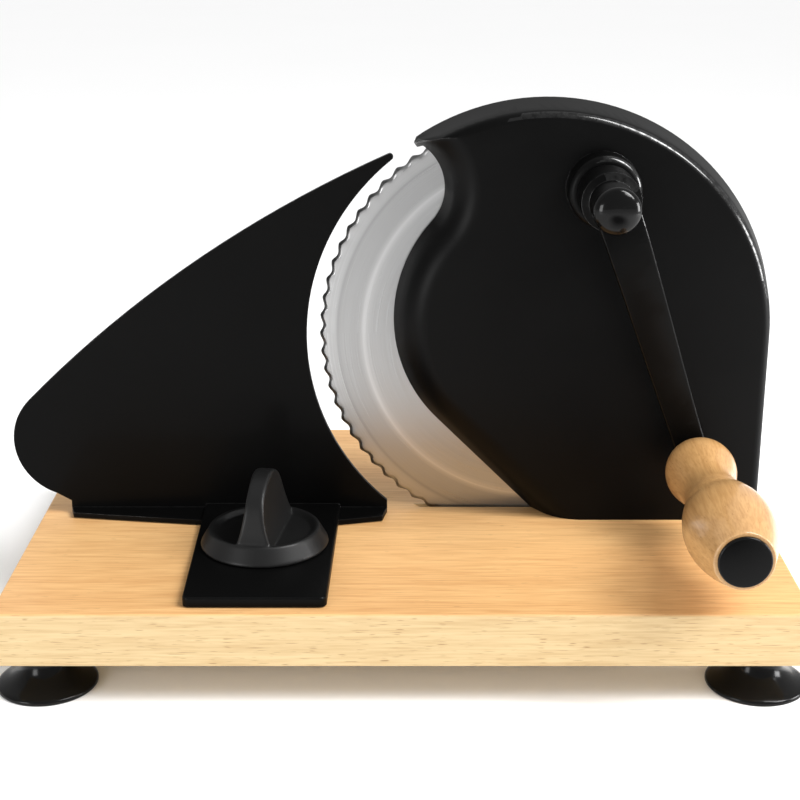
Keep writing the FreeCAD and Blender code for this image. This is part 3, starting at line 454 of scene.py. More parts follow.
def bladeSteel():
    # bands ground at different radii, with fine rings all over; the ramp also paints shade towards
    # the centre and on the edge bevel
    b = bladeLook
    material, tree, shader, place = startMaterial("bladeSteel")
    rings = placeGroup(tree, turnedRings, {
        "Vector": place, "Axis X": b["axis"][0], "Axis Z": b["axis"][1],
        "Ring Scale": b["ringScale"],
    })
    share = mathNode(tree, "DIVIDE", rings["Radius"], b["radius"])
    bands = addNode(tree, "ShaderNodeValToRGB", {0: share})
    stops = bands.color_ramp.elements
    for position, value in b["bands"][1:-1]:
        stops.new(position).color = grey(value)
    stops[0].color = grey(b["bands"][0][1])
    stops[-1].color = grey(b["bands"][-1][1])
    streaks = times(tree, rings["Rings"], b["streaks"])
    steel = mixColour(tree, streaks, bands.outputs[0], b["dark"])
    tree.links.new(steel, shader.inputs["Base Color"])
    smoothest, roughest = b["roughSpread"]
    rough = spread(tree, rings["Rings"], 0.0, 1.0,
                   b["roughness"] * smoothest, b["roughness"] * roughest)
    tree.links.new(rough, shader.inputs["Roughness"])
    shader.inputs["Metallic"].default_value = 1.0
    addBump(tree, shader, rings["Height"], b["ringHeight"], b["ringDepth"])
    return material


coatedLooks = {
    "rubber": {
        "name": "footRubber", "colour": 0.003, "worn": 0.006, "roughness": 0.22, "gloss": 0.12,
        "grainScale": 900.0, "grainHeight": 0.08, "wear": 0.1, "coat": 0.12,
    },
    "housing_black": {
        "name": "housingBlack", "colour": 0.0010, "worn": 0.004, "roughness": 0.40, "gloss": 0.10,
        "grainScale": 1600.0, "grainHeight": 0.05, "wear": 0.9, "glint": 1.0,
    },
    "fence_black": {
        "name": "fenceBlack", "colour": 0.0016, "worn": 0.004, "roughness": 0.40, "gloss": 0.06,
        "grainScale": 1300.0, "grainHeight": 0.06, "wear": 0.4, "coat": 0.02,
    },
    "crank_black": {
        "name": "crankBlack", "colour": 0.0014, "worn": 0.004, "roughness": 0.40, "gloss": 0.06,
        "grainScale": 700.0, "grainHeight": 0.03, "wear": 1.0, "coat": 0.02, "glint": 1.0,
    },
    "knob_grey": {
        "name": "knobGrey", "colour": 0.006, "worn": 0.012, "roughness": 0.42, "gloss": 0.24,
        "grainScale": 1500.0, "grainHeight": 0.04, "wear": 0.5, "coat": 0.04,
    },
    "cap_black": {
        "name": "capBlack", "colour": 0.002, "worn": 0.006, "roughness": 0.22, "gloss": 0.06,
        "grainScale": 900.0, "grainHeight": 0.02, "wear": 0.1, "coat": 0.30,
        "coatRoughness": 0.04,
    },
    "gear_white": {
        "name": "gearWhite", "colour": 0.72, "worn": 0.62, "roughness": 0.45, "gloss": 0.4,
        "grainScale": 1200.0, "grainHeight": 0.10, "wear": 0.2,
    },
}
metalLooks = {
    "plate_steel": {
        "name": "plateSteel", "colour": grey(0.55), "dark": grey(0.40), "roughness": 0.38,
    },
    "fastener_steel": {
        "name": "fastenerSteel", "colour": grey(0.62), "dark": grey(0.42), "roughness": 0.28,
    },
    "bronze": {
        "name": "bushBronze", "colour": (0.60, 0.38, 0.16, 1), "dark": (0.42, 0.25, 0.10, 1),
        "roughness": 0.40,
    },
}
finishes = {"beech": boardWood(), "handle_wood": gripWood(), "blade_steel": bladeSteel()}
for slot, look in coatedLooks.items():
    finishes[slot] = coatedFinish(**look)
for slot, look in metalLooks.items():
    finishes[slot] = metalFinish(**look)
print("materials made:", len(finishes))

slotOf = {entry["node"]: entry["material_slot"] for entry in frame["record"]["subparts"]}
for name, node in nodes.items():
    node.data.materials.clear()
    node.data.materials.append(finishes[slotOf[name]])

# Geometry node helpers


def newGeometryTree(name, inputs):
    tree = bpy.data.node_groups.new(name, "GeometryNodeTree")
    tree.interface.new_socket(name="Geometry", in_out="INPUT", socket_type="NodeSocketGeometry")
    for label, kind, value in inputs:
        socket = tree.interface.new_socket(name=label, in_out="INPUT", socket_type=kind)
        if value is not None:
            socket.default_value = value
    tree.interface.new_socket(name="Finish", in_out="INPUT", socket_type="NodeSocketMaterial")
    tree.interface.new_socket(name="Geometry", in_out="OUTPUT", socket_type="NodeSocketGeometry")
    start = tree.nodes.new("NodeGroupInput").outputs
    end = tree.nodes.new("NodeGroupOutput").inputs
    return tree, start, end


def endTree(tree, start, end, geometry):
    real = addNode(tree, "GeometryNodeRealizeInstances", {0: geometry}).outputs[0]
    painted = addNode(tree, "GeometryNodeSetMaterial",
                      {"Geometry": real, "Material": start["Finish"]})
    tree.links.new(painted.outputs[0], end[0])


def bakeModifiers(piece):
    # works a piece's modifiers into a plain mesh
    bpy.context.view_layer.update()
    graph = bpy.context.evaluated_depsgraph_get()
    plain = bpy.data.meshes.new_from_object(piece.evaluated_get(graph))
    piece.modifiers.clear()
    plain.name = piece.name
    piece.data = plain
    return plain


def runTree(name, hostMesh, tree, values, smoothAngle=32.0):
    # runs a tree on a host mesh and keeps the result as a plain mesh
    piece = addObject(name, hostMesh)
    modifier = piece.modifiers.new("build", "NODES")
    modifier.node_group = tree
    sockets = {item.name: item.identifier for item in tree.interface.items_tree
               if item.item_type == "SOCKET" and item.in_out == "INPUT"}
    for label, value in values.items():
        modifier[sockets[label]] = value
    tidyMesh(bakeModifiers(piece), smoothAngle)
    return piece


def tidyMesh(mesh, smoothAngle):
    work = bmesh.new()
    work.from_mesh(mesh)
    bmesh.ops.remove_doubles(work, verts=work.verts, dist=weldReach)
    bmesh.ops.dissolve_degenerate(work, edges=work.edges, dist=weldReach / 2)
    bmesh.ops.recalc_face_normals(work, faces=work.faces)
    work.to_mesh(mesh)
    work.free()
    mesh.shade_smooth()
    mesh.set_sharp_from_angle(angle=radians(smoothAngle))


def buildTurnedTree():
    # turns the host's line of (radius, wave share, height) points round an axis
    tree, start, end = newGeometryTree("turnedPiece", [
        ("Segments", "NodeSocketInt", 64),
        ("Waves", "NodeSocketInt", 0),
        ("Wave Depth", "NodeSocketFloat", 0.0),
        ("Wave Lean", "NodeSocketFloat", 1.0),
        ("Wave Hollow", "NodeSocketFloat", 0.75),
        ("Centre", "NodeSocketVector", (0, 0, 0)),
        ("Tilt", "NodeSocketVector", (0, 0, 0)),
    ])
    host = start["Geometry"]
    rows = addNode(tree, "GeometryNodeAttributeDomainSize", {0: host}).outputs["Point Count"]
    grid = addNode(tree, "GeometryNodeMeshGrid", {
        "Size X": 1.0, "Size Y": 1.0, "Vertices Y": rows,
        "Vertices X": plus(tree, start["Segments"], 1.0),
    }).outputs[0]
    # each column of the grid takes the host's points; the half keeps the division off whole numbers
    index = tree.nodes.new("GeometryNodeInputIndex").outputs[0]
    column = mathNode(tree, "DIVIDE", plus(tree, index, 0.5), rows)
    column = mathNode(tree, "FLOOR", column)
    row = minus(tree, index, times(tree, column, rows))
    position = tree.nodes.new("GeometryNodeInputPosition").outputs[0]
    point = addNode(tree, "GeometryNodeSampleIndex",
                    {"Geometry": host, "Value": position, "Index": row},
                    data_type="FLOAT_VECTOR", domain="POINT").outputs[0]
    parts = addNode(tree, "ShaderNodeSeparateXYZ", {0: point}).outputs
    share = mathNode(tree, "DIVIDE", column, start["Segments"])
    turn = times(tree, share, 2 * pi)
    # the host's Y says how far each point follows the waves
    phase = mathNode(tree, "FRACT", times(tree, share, start["Waves"]))
    leaning = mathNode(tree, "POWER", phase, start["Wave Lean"])
    swing = mathNode(tree, "COSINE", times(tree, leaning, 2 * pi))
    hollow = times(tree, minus(tree, 1.0, swing), 0.5)
    hollow = mathNode(tree, "POWER", hollow, start["Wave Hollow"])
    dip = times(tree, times(tree, hollow, start["Wave Depth"]), parts[1])
    radius = minus(tree, parts[0], dip)
    placed = addNode(tree, "ShaderNodeCombineXYZ", {
        0: times(tree, radius, mathNode(tree, "COSINE", turn)),
        1: times(tree, radius, mathNode(tree, "SINE", turn)),
        2: parts[2],
    }).outputs[0]
    spun = addNode(tree, "GeometryNodeSetPosition", {"Geometry": grid, "Position": placed})
    closed = addNode(tree, "GeometryNodeMergeByDistance",
                     {"Geometry": spun.outputs[0], "Distance": weldReach})
    moved = addNode(tree, "GeometryNodeTransform", {
        "Geometry": closed.outputs[0], "Translation": start["Centre"], "Rotation": start["Tilt"],
    })
    endTree(tree, start, end, moved.outputs[0])
    return tree


def buildScatterTree():
    # puts the shape object's mesh on each of the host's points
    tree, start, end = newGeometryTree("placedOnPoints", [
        ("Shape", "NodeSocketObject", None),
        ("Tilt", "NodeSocketVector", (0, 0, 0)),
        ("Turn Spread", "NodeSocketFloat", 1.0),
        ("Seed", "NodeSocketInt", 3),
    ])
    shape = addNode(tree, "GeometryNodeObjectInfo", {"Object": start["Shape"]}).outputs["Geometry"]
    turn = addNode(tree, "FunctionNodeRandomValue", {2: 0.0, 3: start["Turn Spread"],
                                                     "Seed": start["Seed"]}).outputs[1]
    spin = addNode(tree, "ShaderNodeCombineXYZ", {2: turn}).outputs[0]
    copies = addNode(tree, "GeometryNodeInstanceOnPoints",
                     {"Points": start["Geometry"], "Instance": shape, "Rotation": start["Tilt"]})
    spun = addNode(tree, "GeometryNodeRotateInstances",
                   {"Instances": copies.outputs[0], "Rotation": spin}).outputs[0]
    endTree(tree, start, end, spun)
    return tree


def profileMesh(name, points):
    # points are (radius, height) or (radius, height, wave share), in millimetres
    mesh = bpy.data.meshes.new(name)
    places = [(p[0] * mm, p[2] if len(p) > 2 else 0.0, p[1] * mm) for p in points]
    mesh.from_pydata(places, [(i, i + 1) for i in range(len(places) - 1)], [])
    return mesh


def curveThrough(points, steps=10):
    # a smooth line through the points, for a turned outline
    ends = [points[0]] + list(points) + [points[-1]]
    line = []
    for i in range(1, len(ends) - 2):
        a, b, c, d = ends[i - 1], ends[i], ends[i + 1], ends[i + 2]
        for step in range(steps):
            t = step / steps
            line.append(tuple(
                0.5 * (2 * b[k] + (c[k] - a[k]) * t
                       + (2 * a[k] - 5 * b[k] + 4 * c[k] - d[k]) * t * t
                       + (3 * b[k] - a[k] - 3 * c[k] + d[k]) * t ** 3) for k in range(2)))
    return line + [points[-1]]


def roundedCorner(start, corner, end, radius, steps=5):
    # replaces a corner of an outline by a small curve
    corner, start, end = Vector(corner), Vector(start), Vector(end)
    first = corner + (start - corner).normalized() * radius
    last = corner + (end - corner).normalized() * radius
    line = []
    for step in range(steps + 1):
        t = step / steps
        line.append(tuple(first * (1 - t) ** 2 + corner * 2 * t * (1 - t) + last * t * t))
    return line


turnedTree = buildTurnedTree()
scatterTree = buildScatterTree()
levelAxis = (radians(90), 0, 0)  # the turned piece's height then runs towards -Y
print("geometry node trees built")


def finishPiece(piece, body, node):
    # a piece takes the finish of the node that it stands for
    slot = slotOf[node]
    if not piece.data.materials:
        piece.data.materials.append(finishes[slot])
    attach(piece, body)
    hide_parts(node)
    return piece


def levelSize(node):
    # radius and depth, in millimetres, of a node that is round about a level axis
    low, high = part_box(node)
    return (high.x - low.x) / 2 / mm, (high.y - low.y) / mm


def turnLevel(name, node, body, outline, segments, smoothAngle=32.0, waves=None):
    # turns an outline about a node's level axis, starting from the node's back
    low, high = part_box(node)
    centre = (low + high) / 2
    piece = runTree(name, profileMesh(name, outline), turnedTree, {
        "Segments": segments, "Centre": (centre.x, high.y, centre.z), "Tilt": levelAxis,
        "Finish": finishes[slotOf[node]], **(waves or {}),
    }, smoothAngle)
    return finishPiece(piece, body, node)


bluntNose = {"above": 0.2125, "end": 0.0106, "kept": 0.3}  # of the housing over the blade
edgeDressing = {
    "foldAngle": 38.0, "flatAngle": 0.4, "segments": 2,
    "rubbedY": (-0.96, -0.30), "rubbedMinX": -0.1, "rubbedMinZ": 0.14,
}


def bluntenNose(work):
    end = bluntNose["end"]
    for vertex in work.verts:
        if vertex.co.z > bluntNose["above"] and vertex.co.x < end:
            vertex.co.x = end - (end - vertex.co.x) * bluntNose["kept"]


def facesTheLamps(normal):
    # faces turned up or right, towards the front, where the lamps stand: their mark paints a glint
    low, high = edgeDressing["rubbedY"]
    return (low < normal.y < high and normal.x > edgeDressing["rubbedMinX"]
            and normal.z > edgeDressing["rubbedMinZ"])


def dressedCopy(node, name, body, edge):
    # a copy of a CAD solid with its edges broken, so that they catch the light
    mesh = nodes[node].data.copy()
    mesh.name = name
    work = bmesh.new()
    work.from_mesh(mesh)
    bmesh.ops.remove_doubles(work, verts=work.verts, dist=weldReach)
    bmesh.ops.dissolve_limit(work, angle_limit=radians(edgeDressing["flatAngle"]),
                             verts=work.verts, edges=work.edges)
    if node == "housing_shell":
        bluntenNose(work)
    work.to_mesh(mesh)
    work.free()
    foldAngle = radians(edgeDressing["foldAngle"])
    mesh.shade_smooth()
    mesh.set_sharp_from_angle(angle=foldAngle)
    piece = addObject(name, mesh)
    bevel = piece.modifiers.new("brokenEdges", "BEVEL")
    bevel.width = edge * mm
    bevel.segments = edgeDressing["segments"]
    bevel.limit_method = "ANGLE"
    bevel.angle_limit = foldAngle
    bevel.use_clamp_overlap = True
    bevel.harden_normals = True
    # a second material slot marks the bevel's own faces until they carry the attribute
    mesh.materials.clear()
    for index in range(2):
        mesh.materials.append(finishes[slotOf[node]])
    bevel.material = 1
    broken = bakeModifiers(piece)
    marks = broken.attributes.new("brokenEdge", "FLOAT", "FACE")
    # bevel faces carry the mark, and so do faces turned towards the lamps, as a painted glint
    for mark, face in zip(marks.data, broken.polygons):
        mark.value = 1.0 if face.material_index or facesTheLamps(face.normal) else 0.0
        face.material_index = 0
    broken.materials.pop(index=1)
    return finishPiece(piece, body, node)


# Suction feet

footShape = {
    "boreRadius": 2.0, "neckRadius": 9.5, "rimRadius": 21.5, "rimThickness": 2.4,
    "collar": 0.4, "collarRounding": 0.7, "rimSlope": (1.6, 0.25), "rimCorner": 0.75,
    "rimRounding": 0.9,
    "flare": [(0.0, 0.86), (0.2, 0.66), (2.0, 0.44), (6.0, 0.26)],  # past the neck, share of height
    "sole": [(0.0, 0.5), (0.4, 0.0), (2.0, 0.0)],  # in from the rim, up
    "lip": (2.4, 0.3),
    "cup": [(15.0, 3.6), (8.5, 5.9), (7.0, 6.4)],  # radius, up
}


def makeFoot(node):
    low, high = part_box(node)
    height = (high.z - low.z) / mm
    f = footShape
    bore, neck, rim, thickness = (f[key] for key in (
        "boreRadius", "neckRadius", "rimRadius", "rimThickness"))
    collar = neck + f["collar"]
    outside = curveThrough([(neck + past, height * share) for past, share in f["flare"]]
                           + [(rim - f["rimSlope"][0], thickness + f["rimSlope"][1])])
    outline = [(bore, height)]
    outline += roundedCorner((bore, height), (collar, height), (collar, 0), f["collarRounding"])
    outline += outside
    outline += roundedCorner(outside[-1], (rim, thickness * f["rimCorner"]), (rim, 0),
                             f["rimRounding"])
    outline += [(rim - inward, up) for inward, up in f["sole"]]
    outline += curveThrough([(rim - f["lip"][0], f["lip"][1])] + f["cup"], 6)
    outline += [(bore, f["cup"][-1][1]), (bore, height)]
    centre = (low + high) / 2
    name = "rubberFoot" + node.removeprefix("suction_foot").title().replace("_", "")
    foot = runTree(name, profileMesh(name, outline), turnedTree, {
        "Segments": 72, "Centre": (centre.x, centre.y, low.z), "Finish": finishes[slotOf[node]],
    })
    return finishPiece(foot, "base", node)


for node in [n for n in nodes if n.startswith("suction_foot")]:
    makeFoot(node)
print("suction feet turned")

# Handle grip and its end cap

gripShape = {
    "stations": [  # share of the length from the arm, radius
        (0.000, 9.6), (0.010, 12.0), (0.035, 14.2), (0.08, 15.6), (0.13, 15.6), (0.20, 13.9),
        (0.27, 12.0), (0.34, 11.3), (0.42, 12.2), (0.52, 15.3), (0.62, 17.9), (0.70, 18.8),
        (0.79, 18.2), (0.89, 15.9), (0.96, 13.6), (0.995, 12.4),
    ],
    "frontRadius": 12.2, "frontLean": 0.3, "frontRounding": 0.5, "boreRadius": 3.55,
    "pocketRadius": 7.5, "pocketDepth": 12.0,
}


def makeGrip():
    length = levelSize("handle_grip")[1]
    g = gripShape
    bore, front, pocket = g["boreRadius"], g["frontRadius"], g["pocketRadius"]
    outline = [(bore, 0.0)]
    outline += curveThrough([(radius, share * length) for share, radius in g["stations"]], 8)
    outline += roundedCorner((front + g["frontLean"], length - 1), (front, length),
                             (pocket, length), g["frontRounding"])
    outline += [(pocket, length), (pocket, length - g["pocketDepth"]),
                (bore, length - g["pocketDepth"]), (bore, 0.0)]
    turnLevel("turnedGrip", "handle_grip", "handle", outline, 96)


endCapShape = {"plugRadius": 7.4, "lip": 1.4, "side": 0.9, "rounding": 0.8}


def makeEndCap():
    radius, depth = levelSize("handle_end_cap")
    plug, lip = endCapShape["plugRadius"], endCapShape["lip"]
    outline = [(0.0, 0.0), (plug, 0.0), (plug, depth - lip), (radius, depth - lip),
               (radius, depth - endCapShape["side"])]
    outline += roundedCorner((radius, depth - 1), (radius, depth), (0, depth),
                             endCapShape["rounding"])
    outline.append((0.0, depth))
    turnLevel("gripEndCap", "handle_end_cap", "handle", outline, 72)


makeGrip()
makeEndCap()
print("handle turned")

# Domed cap over the crank screw

crankCapShape = {
    "plugRadius": 7.0, "plug": 2.0, "lip": 0.5, "underRounding": 0.3, "fullness": 0.9,
    "steps": 16,
}


def makeCrankCap():
    radius, depth = levelSize("crank_cap")
    c = crankCapShape
    plugRadius, plug, steps = c["plugRadius"], c["plug"], c["steps"]
    rise = depth - plug
    outline = [(0.0, 0.0), (plugRadius, 0.0), (plugRadius, plug)]
    outline += roundedCorner((plugRadius, plug), (radius, plug), (radius, depth),
                             c["underRounding"], 3)
    for step in range(steps + 1):
        turn = radians(90 * step / steps)
        outline.append((radius * cos(turn) ** c["fullness"] if step < steps else 0.0,
                        plug + c["lip"] + (rise - c["lip"]) * sin(turn)))
    turnLevel("crankCap", "crank_cap", "crank", outline, 72)


makeCrankCap()
print("crank cap turned")

# Blade

bladeShape = {
    "teeth": 72, "toothDepth": 1.5, "toothLean": 1.25, "toothHollow": 0.75, "stepsPerTooth": 10,
    "bore": 7.0, "faceRings": (60.0, 80.0), "smoothAngle": 18.0,
    "grindWidth": 7.0, "grindDepth": 0.25,
    "grindSteps": [(0.75, 0.1), (0.5, 0.35), (0.3, 0.7)],  # share of the width, of the waves
    "edgeWidth": 1.5, "edgeThickness": 0.25, "edgeHollow": 0.05, "tipFront": 0.08, "tipBack": 0.05,
}


def makeBlade():
    radius, thick = levelSize("blade")
    b = bladeShape
    inner, outer = b["faceRings"]
    grindStart, edgeStart = radius - b["grindWidth"], radius - b["edgeWidth"]
    # heights run from the blade's back face, at 0, to its front face
    front = [(b["bore"], thick, 0.0), (inner, thick, 0.0), (outer, thick, 0.0),
             (grindStart, thick, 0.0)]
    front += [(radius - b["grindWidth"] * share, thick - b["grindDepth"] * (1 - share), wave)
              for share, wave in b["grindSteps"]]
    front += [(edgeStart, thick - b["grindDepth"], 1.0),
              (radius - b["edgeWidth"] * 0.5,
               (thick + b["edgeThickness"]) / 2 - b["edgeHollow"], 1.0),
              (radius - b["tipFront"], b["edgeThickness"], 1.0),
              (radius, b["edgeThickness"] / 2, 1.0)]
    back = [(radius - b["tipBack"], 0.0, 1.0), (edgeStart, 0.0, 1.0), (grindStart, 0.0, 0.0),
            (inner, 0.0, 0.0), (b["bore"], 0.0, 0.0), (b["bore"], thick, 0.0)]
    turnLevel("toothedBlade", "blade", "blade", front + back, b["teeth"] * b["stepsPerTooth"],
              b["smoothAngle"], {
                  "Waves": b["teeth"], "Wave Depth": b["toothDepth"] * mm,
                  "Wave Lean": b["toothLean"], "Wave Hollow": b["toothHollow"],
              })


makeBlade()
print("blade ground")

# Rigid pieces whose edges are broken

dressedNodes = {  # edge is the broken edge's width in millimetres
    "base_board": {"name": "beechBoard", "body": "base", "edge": 0.5},
    "housing_shell": {"name": "gearHousing", "body": "base", "edge": 0.8},
    "fence_plate": {"name": "fenceWing", "body": "fence", "edge": 0.35},
    "crank_arm": {"name": "crankArm", "body": "crank", "edge": 0.9},
}
for node, dressing in dressedNodes.items():
    dressedCopy(node, **dressing)
print("board, housing, fence and arm finished")

# Clamp knob: its creases are rounded as a mould leaves them

knobShape = {"voxel": 0.40, "smoothAngle": 30, "softness": 0.5, "rounds": 14}


def makeKnob():
    mesh = nodes["fence_knob"].data.copy()
    mesh.name = "clampKnob"
    tidyMesh(mesh, knobShape["smoothAngle"])
    piece = addObject("clampKnob", mesh)
    remesh = piece.modifiers.new("evenSkin", "REMESH")
    remesh.mode = "VOXEL"
    remesh.voxel_size = knobShape["voxel"] * mm
    remesh.use_smooth_shade = True
    soften = piece.modifiers.new("softCreases", "SMOOTH")
    soften.factor = knobShape["softness"]
    soften.iterations = knobShape["rounds"]
    soft = bakeModifiers(piece)
    soft.shade_smooth()
    soft.materials.clear()
    return finishPiece(piece, "knob", "fence_knob")


makeKnob()
print("knob softened")

# Screws: a turned body with a driven recess, placed where each CAD screw is

screwKinds = {
    "plate_screws": {
        "name": "plateScrew", "body": "base", "axis": "Y", "headEnd": 1, "head": "countersunk",
        "shank": 1.5, "headHeight": 1.65, "recess": "cross", "recessReach": 0.62,
    },
    "blade_screw": {
        "name": "bladeScrew", "body": "blade", "axis": "Y", "headEnd": 1, "head": "countersunk",
        "shank": 2.5, "headHeight": 2.5, "recess": "hexagon", "recessReach": 0.42,
    },
    "housing_screws": {
        "name": "housingScrew", "body": "base", "axis": "Z", "headEnd": -1, "head": "round",
        "shank": 2.2, "headHeight": 2.5, "recess": "cross", "recessReach": 0.6,
    },
    "foot_screws": {
        "name": "footScrew", "body": "base", "axis": "Z", "headEnd": -1, "head": "round",
        "shank": 2.0, "headHeight": 2.5, "recess": "cross", "recessReach": 0.6,
    },
}
screwShape = {
    "segments": 40, "tip": 0.5, "rimDrop": 0.08, "rimInset": 0.12, "underHead": 0.15,
    "crown": 0.6, "crownSteps": 8, "recessDepth": 0.6, "smoothAngle": 30,
    "turnSpread": 3.0, "seed": 5,
}
recessShape = {"crossArm": 0.22, "crossTaper": 0.55, "hexagonTaper": 0.97, "smoothAngle": 20}


def islandBoxes(node):
    # the box of each separate solid in a node
    work = bmesh.new()
    work.from_mesh(nodes[node].data)
    bmesh.ops.remove_doubles(work, verts=work.verts, dist=weldReach)
    left = set(work.verts)
    boxes = []
    while left:
        queue = [left.pop()]
        found = list(queue)
        while queue:
            for edge in queue.pop().link_edges:
                for vert in edge.verts:
                    if vert in left:
                        left.remove(vert)
                        queue.append(vert)
                        found.append(vert)
        low = Vector([min(v.co[k] for v in found) for k in range(3)])
        high = Vector([max(v.co[k] for v in found) for k in range(3)])
        boxes.append((low, high))
    work.free()
    return sorted(boxes, key=lambda box: tuple(box[0]))


def recessMesh(kind, wide, depth, top):
    # a cross or a hexagon that is cut into a head, widest at its mouth
    if kind == "cross":
        narrow = wide * recessShape["crossArm"]
        arm = [(narrow, narrow), (narrow, wide), (-narrow, wide)]
        ring = []
        for quarter in range(4):
            ring += arm
            arm = [(-y, x) for x, y in arm]
    else:
        ring = [(wide * cos(radians(60 * k)), wide * sin(radians(60 * k))) for k in range(6)]
    count = len(ring)
    taper = recessShape[kind + "Taper"]
    places = [(x * mm, y * mm, (top + 1) * mm) for x, y in ring]
    places += [(x * taper * mm, y * taper * mm, (top - depth) * mm) for x, y in ring]
    faces = [tuple(range(count)), tuple(reversed(range(count, 2 * count)))]
    faces += [(k, k + count, (k + 1) % count + count, (k + 1) % count) for k in range(count)]
    mesh = bpy.data.meshes.new("recess")
    mesh.from_pydata(places, [], faces)
    tidyMesh(mesh, recessShape["smoothAngle"])
    return mesh


def screwOutline(kind, length, headRadius):
    # from the tip of the shank, at 0, to the top of the head
    s = screwShape
    shankEnd = length - kind["headHeight"]
    outline = [(0.0, 0.0), (kind["shank"] - s["tip"], 0.0), (kind["shank"], s["tip"]),
               (kind["shank"], shankEnd)]
    if kind["head"] == "countersunk":
        outline += [(headRadius - s["rimDrop"], length - s["rimDrop"]),
                    (headRadius - s["rimInset"], length)]
    else:
        rise = kind["headHeight"] * s["crown"]
        outline += [(headRadius - s["underHead"], shankEnd),
                    (headRadius, shankEnd + s["underHead"]), (headRadius, length - rise)]
        for step in range(1, s["crownSteps"] + 1):
            turn = radians(90 * step / s["crownSteps"])
            outline.append((headRadius * (0.5 + 0.5 * cos(turn)), length - rise * (1 - sin(turn))))
    return outline + [(0.0, length)]


def makeScrews(node, kind):
    s = screwShape
    boxes = islandBoxes(node)
    low, high = boxes[0]
    along = 1 if kind["axis"] == "Y" else 2
    length = (high[along] - low[along]) / mm
    headRadius = (high.x - low.x) / 2 / mm
    outline = profileMesh("screwOutline", screwOutline(kind, length, headRadius))
    shape = runTree(kind["name"] + "Shape", outline, turnedTree,
                    {"Segments": s["segments"], "Finish": finishes[slotOf[node]]})
    cutter = addObject("recessCutter", recessMesh(
        kind["recess"], headRadius * kind["recessReach"],
        kind["headHeight"] * s["recessDepth"], length))
    cut = shape.modifiers.new("recess", "BOOLEAN")
    cut.object = cutter
    cut.operation = "DIFFERENCE"
    cut.solver = "EXACT"
    tidyMesh(bakeModifiers(shape), s["smoothAngle"])
    # the head faces +Y, -Y, +Z or -Z, and each screw is turned by its own amount
    if along == 1:
        tilt = (radians(-90 * kind["headEnd"]), 0, 0)
    else:
        tilt = (0 if kind["headEnd"] > 0 else pi, 0, 0)
    places = []
    for low, high in boxes:
        point = (low + high) / 2
        point[along] = low[along] if kind["headEnd"] > 0 else high[along]
        places.append(tuple(point))
    host = bpy.data.meshes.new(kind["name"] + "Places")
    host.from_pydata(places, [], [])
    piece = runTree(kind["name"] + "Set", host, scatterTree, {
        "Shape": shape, "Tilt": tilt, "Turn Spread": s["turnSpread"], "Seed": s["seed"],
        "Finish": finishes[slotOf[node]],
    })
    bpy.data.objects.remove(cutter)
    bpy.data.objects.remove(shape)
    return finishPiece(piece, kind["body"], node)


for node, kind in screwKinds.items():
    makeScrews(node, kind)
print("screws placed")

# Floor and lights

floorLook = {
    "size": 9.0, "colour": grey(0.97), "mottled": grey(0.955), "mottleScale": 3.0,
    "roughness": 0.8, "gloss": 0.02,
    "dimCentre": (0.15, -0.52, 0), "dimReach": (0.20, 0.42, 1), "dimTone": 0.04, "dimCore": 0.35,
}


def addFloor():
    half = floorLook["size"] / 2
    mesh = bpy.data.meshes.new("paleFloor")
    mesh.from_pydata([(-half, -half, 0), (half, -half, 0), (half, half, 0), (-half, half, 0)],
                     [], [(0, 1, 2, 3)])
    floor = addObject("paleFloor", mesh)
    material, tree, shader, place = startMaterial("paleFloor")
    shader.inputs["Roughness"].default_value = floorLook["roughness"]
    shader.inputs["Specular IOR Level"].default_value = floorLook["gloss"]
    mottle = noise(tree, place, floorLook["mottleScale"], 2.0)
    pale = mixColour(tree, mottle, floorLook["colour"], floorLook["mottled"])
    # painted dark reflection: only glossy rays see this patch of floor in front of the slicer,
    # nearly black, so the black faces mirror it dark
    spot = addNode(tree, "ShaderNodeMapping", {
        "Vector": place, "Location": floorLook["dimCentre"], "Scale": floorLook["dimReach"],
    }, vector_type="TEXTURE").outputs[0]
    reach = addNode(tree, "ShaderNodeVectorMath", {0: spot}, operation="LENGTH").outputs["Value"]
    darkReflection = times(tree, spread(tree, reach, 1.0, floorLook["dimCore"]),
                addNode(tree, "ShaderNodeLightPath").outputs["Is Glossy Ray"])
    seen = mixColour(tree, darkReflection, pale, grey(floorLook["dimTone"]))
    tree.links.new(seen, shader.inputs["Base Color"])
    mesh.materials.append(material)


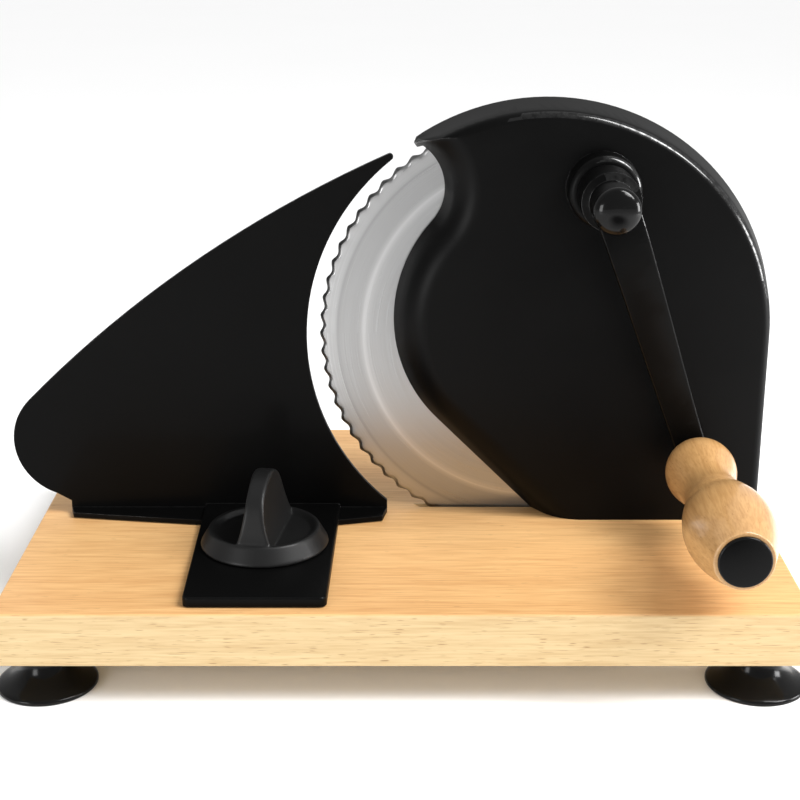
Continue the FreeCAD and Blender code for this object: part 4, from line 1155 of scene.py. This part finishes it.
studioLights = {
    "windowRight": {
        "place": (0.68, -0.25, 0.95), "aim": (0.05, 0.0, 0.15), "size": (0.20, 0.80), "power": 10,
    },
    "stripRight": {
        "place": (0.90, -0.12, 0.24), "aim": (0.08, -0.03, 0.16), "size": (0.30, 0.32), "power": 6,
    },
    "stripLeft": {
        "place": (-0.80, -0.80, 0.26), "aim": (0.0, 0.0, 0.14), "size": (0.34, 0.40), "power": 4,
    },
}
softSun = {"place": (0, 0, 1.5), "aim": (-0.60, 0.34, -0.76), "angle": 22, "strength": 1.48}


def addLamp(name, kind, direction, place, power):
    data = bpy.data.lights.new(name, kind)
    data.energy = power
    lamp = addObject(name, data)
    lamp.location = place
    lamp.rotation_euler = Vector(direction).to_track_quat("-Z", "Y").to_euler()
    return data


def addLights():
    for name, light in studioLights.items():
        direction = Vector(light["aim"]) - Vector(light["place"])
        data = addLamp(name, "AREA", direction, light["place"], light["power"])
        data.shape = "RECTANGLE"
        data.size, data.size_y = light["size"]
    sun = addLamp("softSun", "SUN", softSun["aim"], softSun["place"], softSun["strength"])
    sun.angle = radians(softSun["angle"])


studioRoom = {
    "tent": 0.64, "mirroredFront": 0.40, "mirroredBack": 0.62,
    "turning": (-0.2, 0.4),  # from the front to the back of the room, along Y
}


def addWorld():
    # reflections see a white backdrop behind and a dimmer room in front
    world = bpy.data.worlds.new("studio")
    world.use_nodes = True
    bpy.context.scene.world = world
    tree = world.node_tree
    sky = tree.nodes["Background"]
    mirrored = addNode(tree, "ShaderNodeLightPath").outputs["Is Glossy Ray"]
    direction = addNode(tree, "ShaderNodeTexCoord").outputs["Generated"]
    behind = addNode(tree, "ShaderNodeSeparateXYZ", {0: direction}).outputs[1]
    seen = spread(tree, behind, *studioRoom["turning"],
                  studioRoom["mirroredFront"], studioRoom["mirroredBack"])
    strength = spread(tree, mirrored, 0.0, 1.0, studioRoom["tent"], seen)
    tree.links.new(strength, sky.inputs["Strength"])
    sky.inputs["Color"].default_value = (1, 1, 1, 1)
    bpy.context.scene.view_settings.view_transform = "Standard"


addFloor()
addLights()
addWorld()
print("floor, lights and world ready")
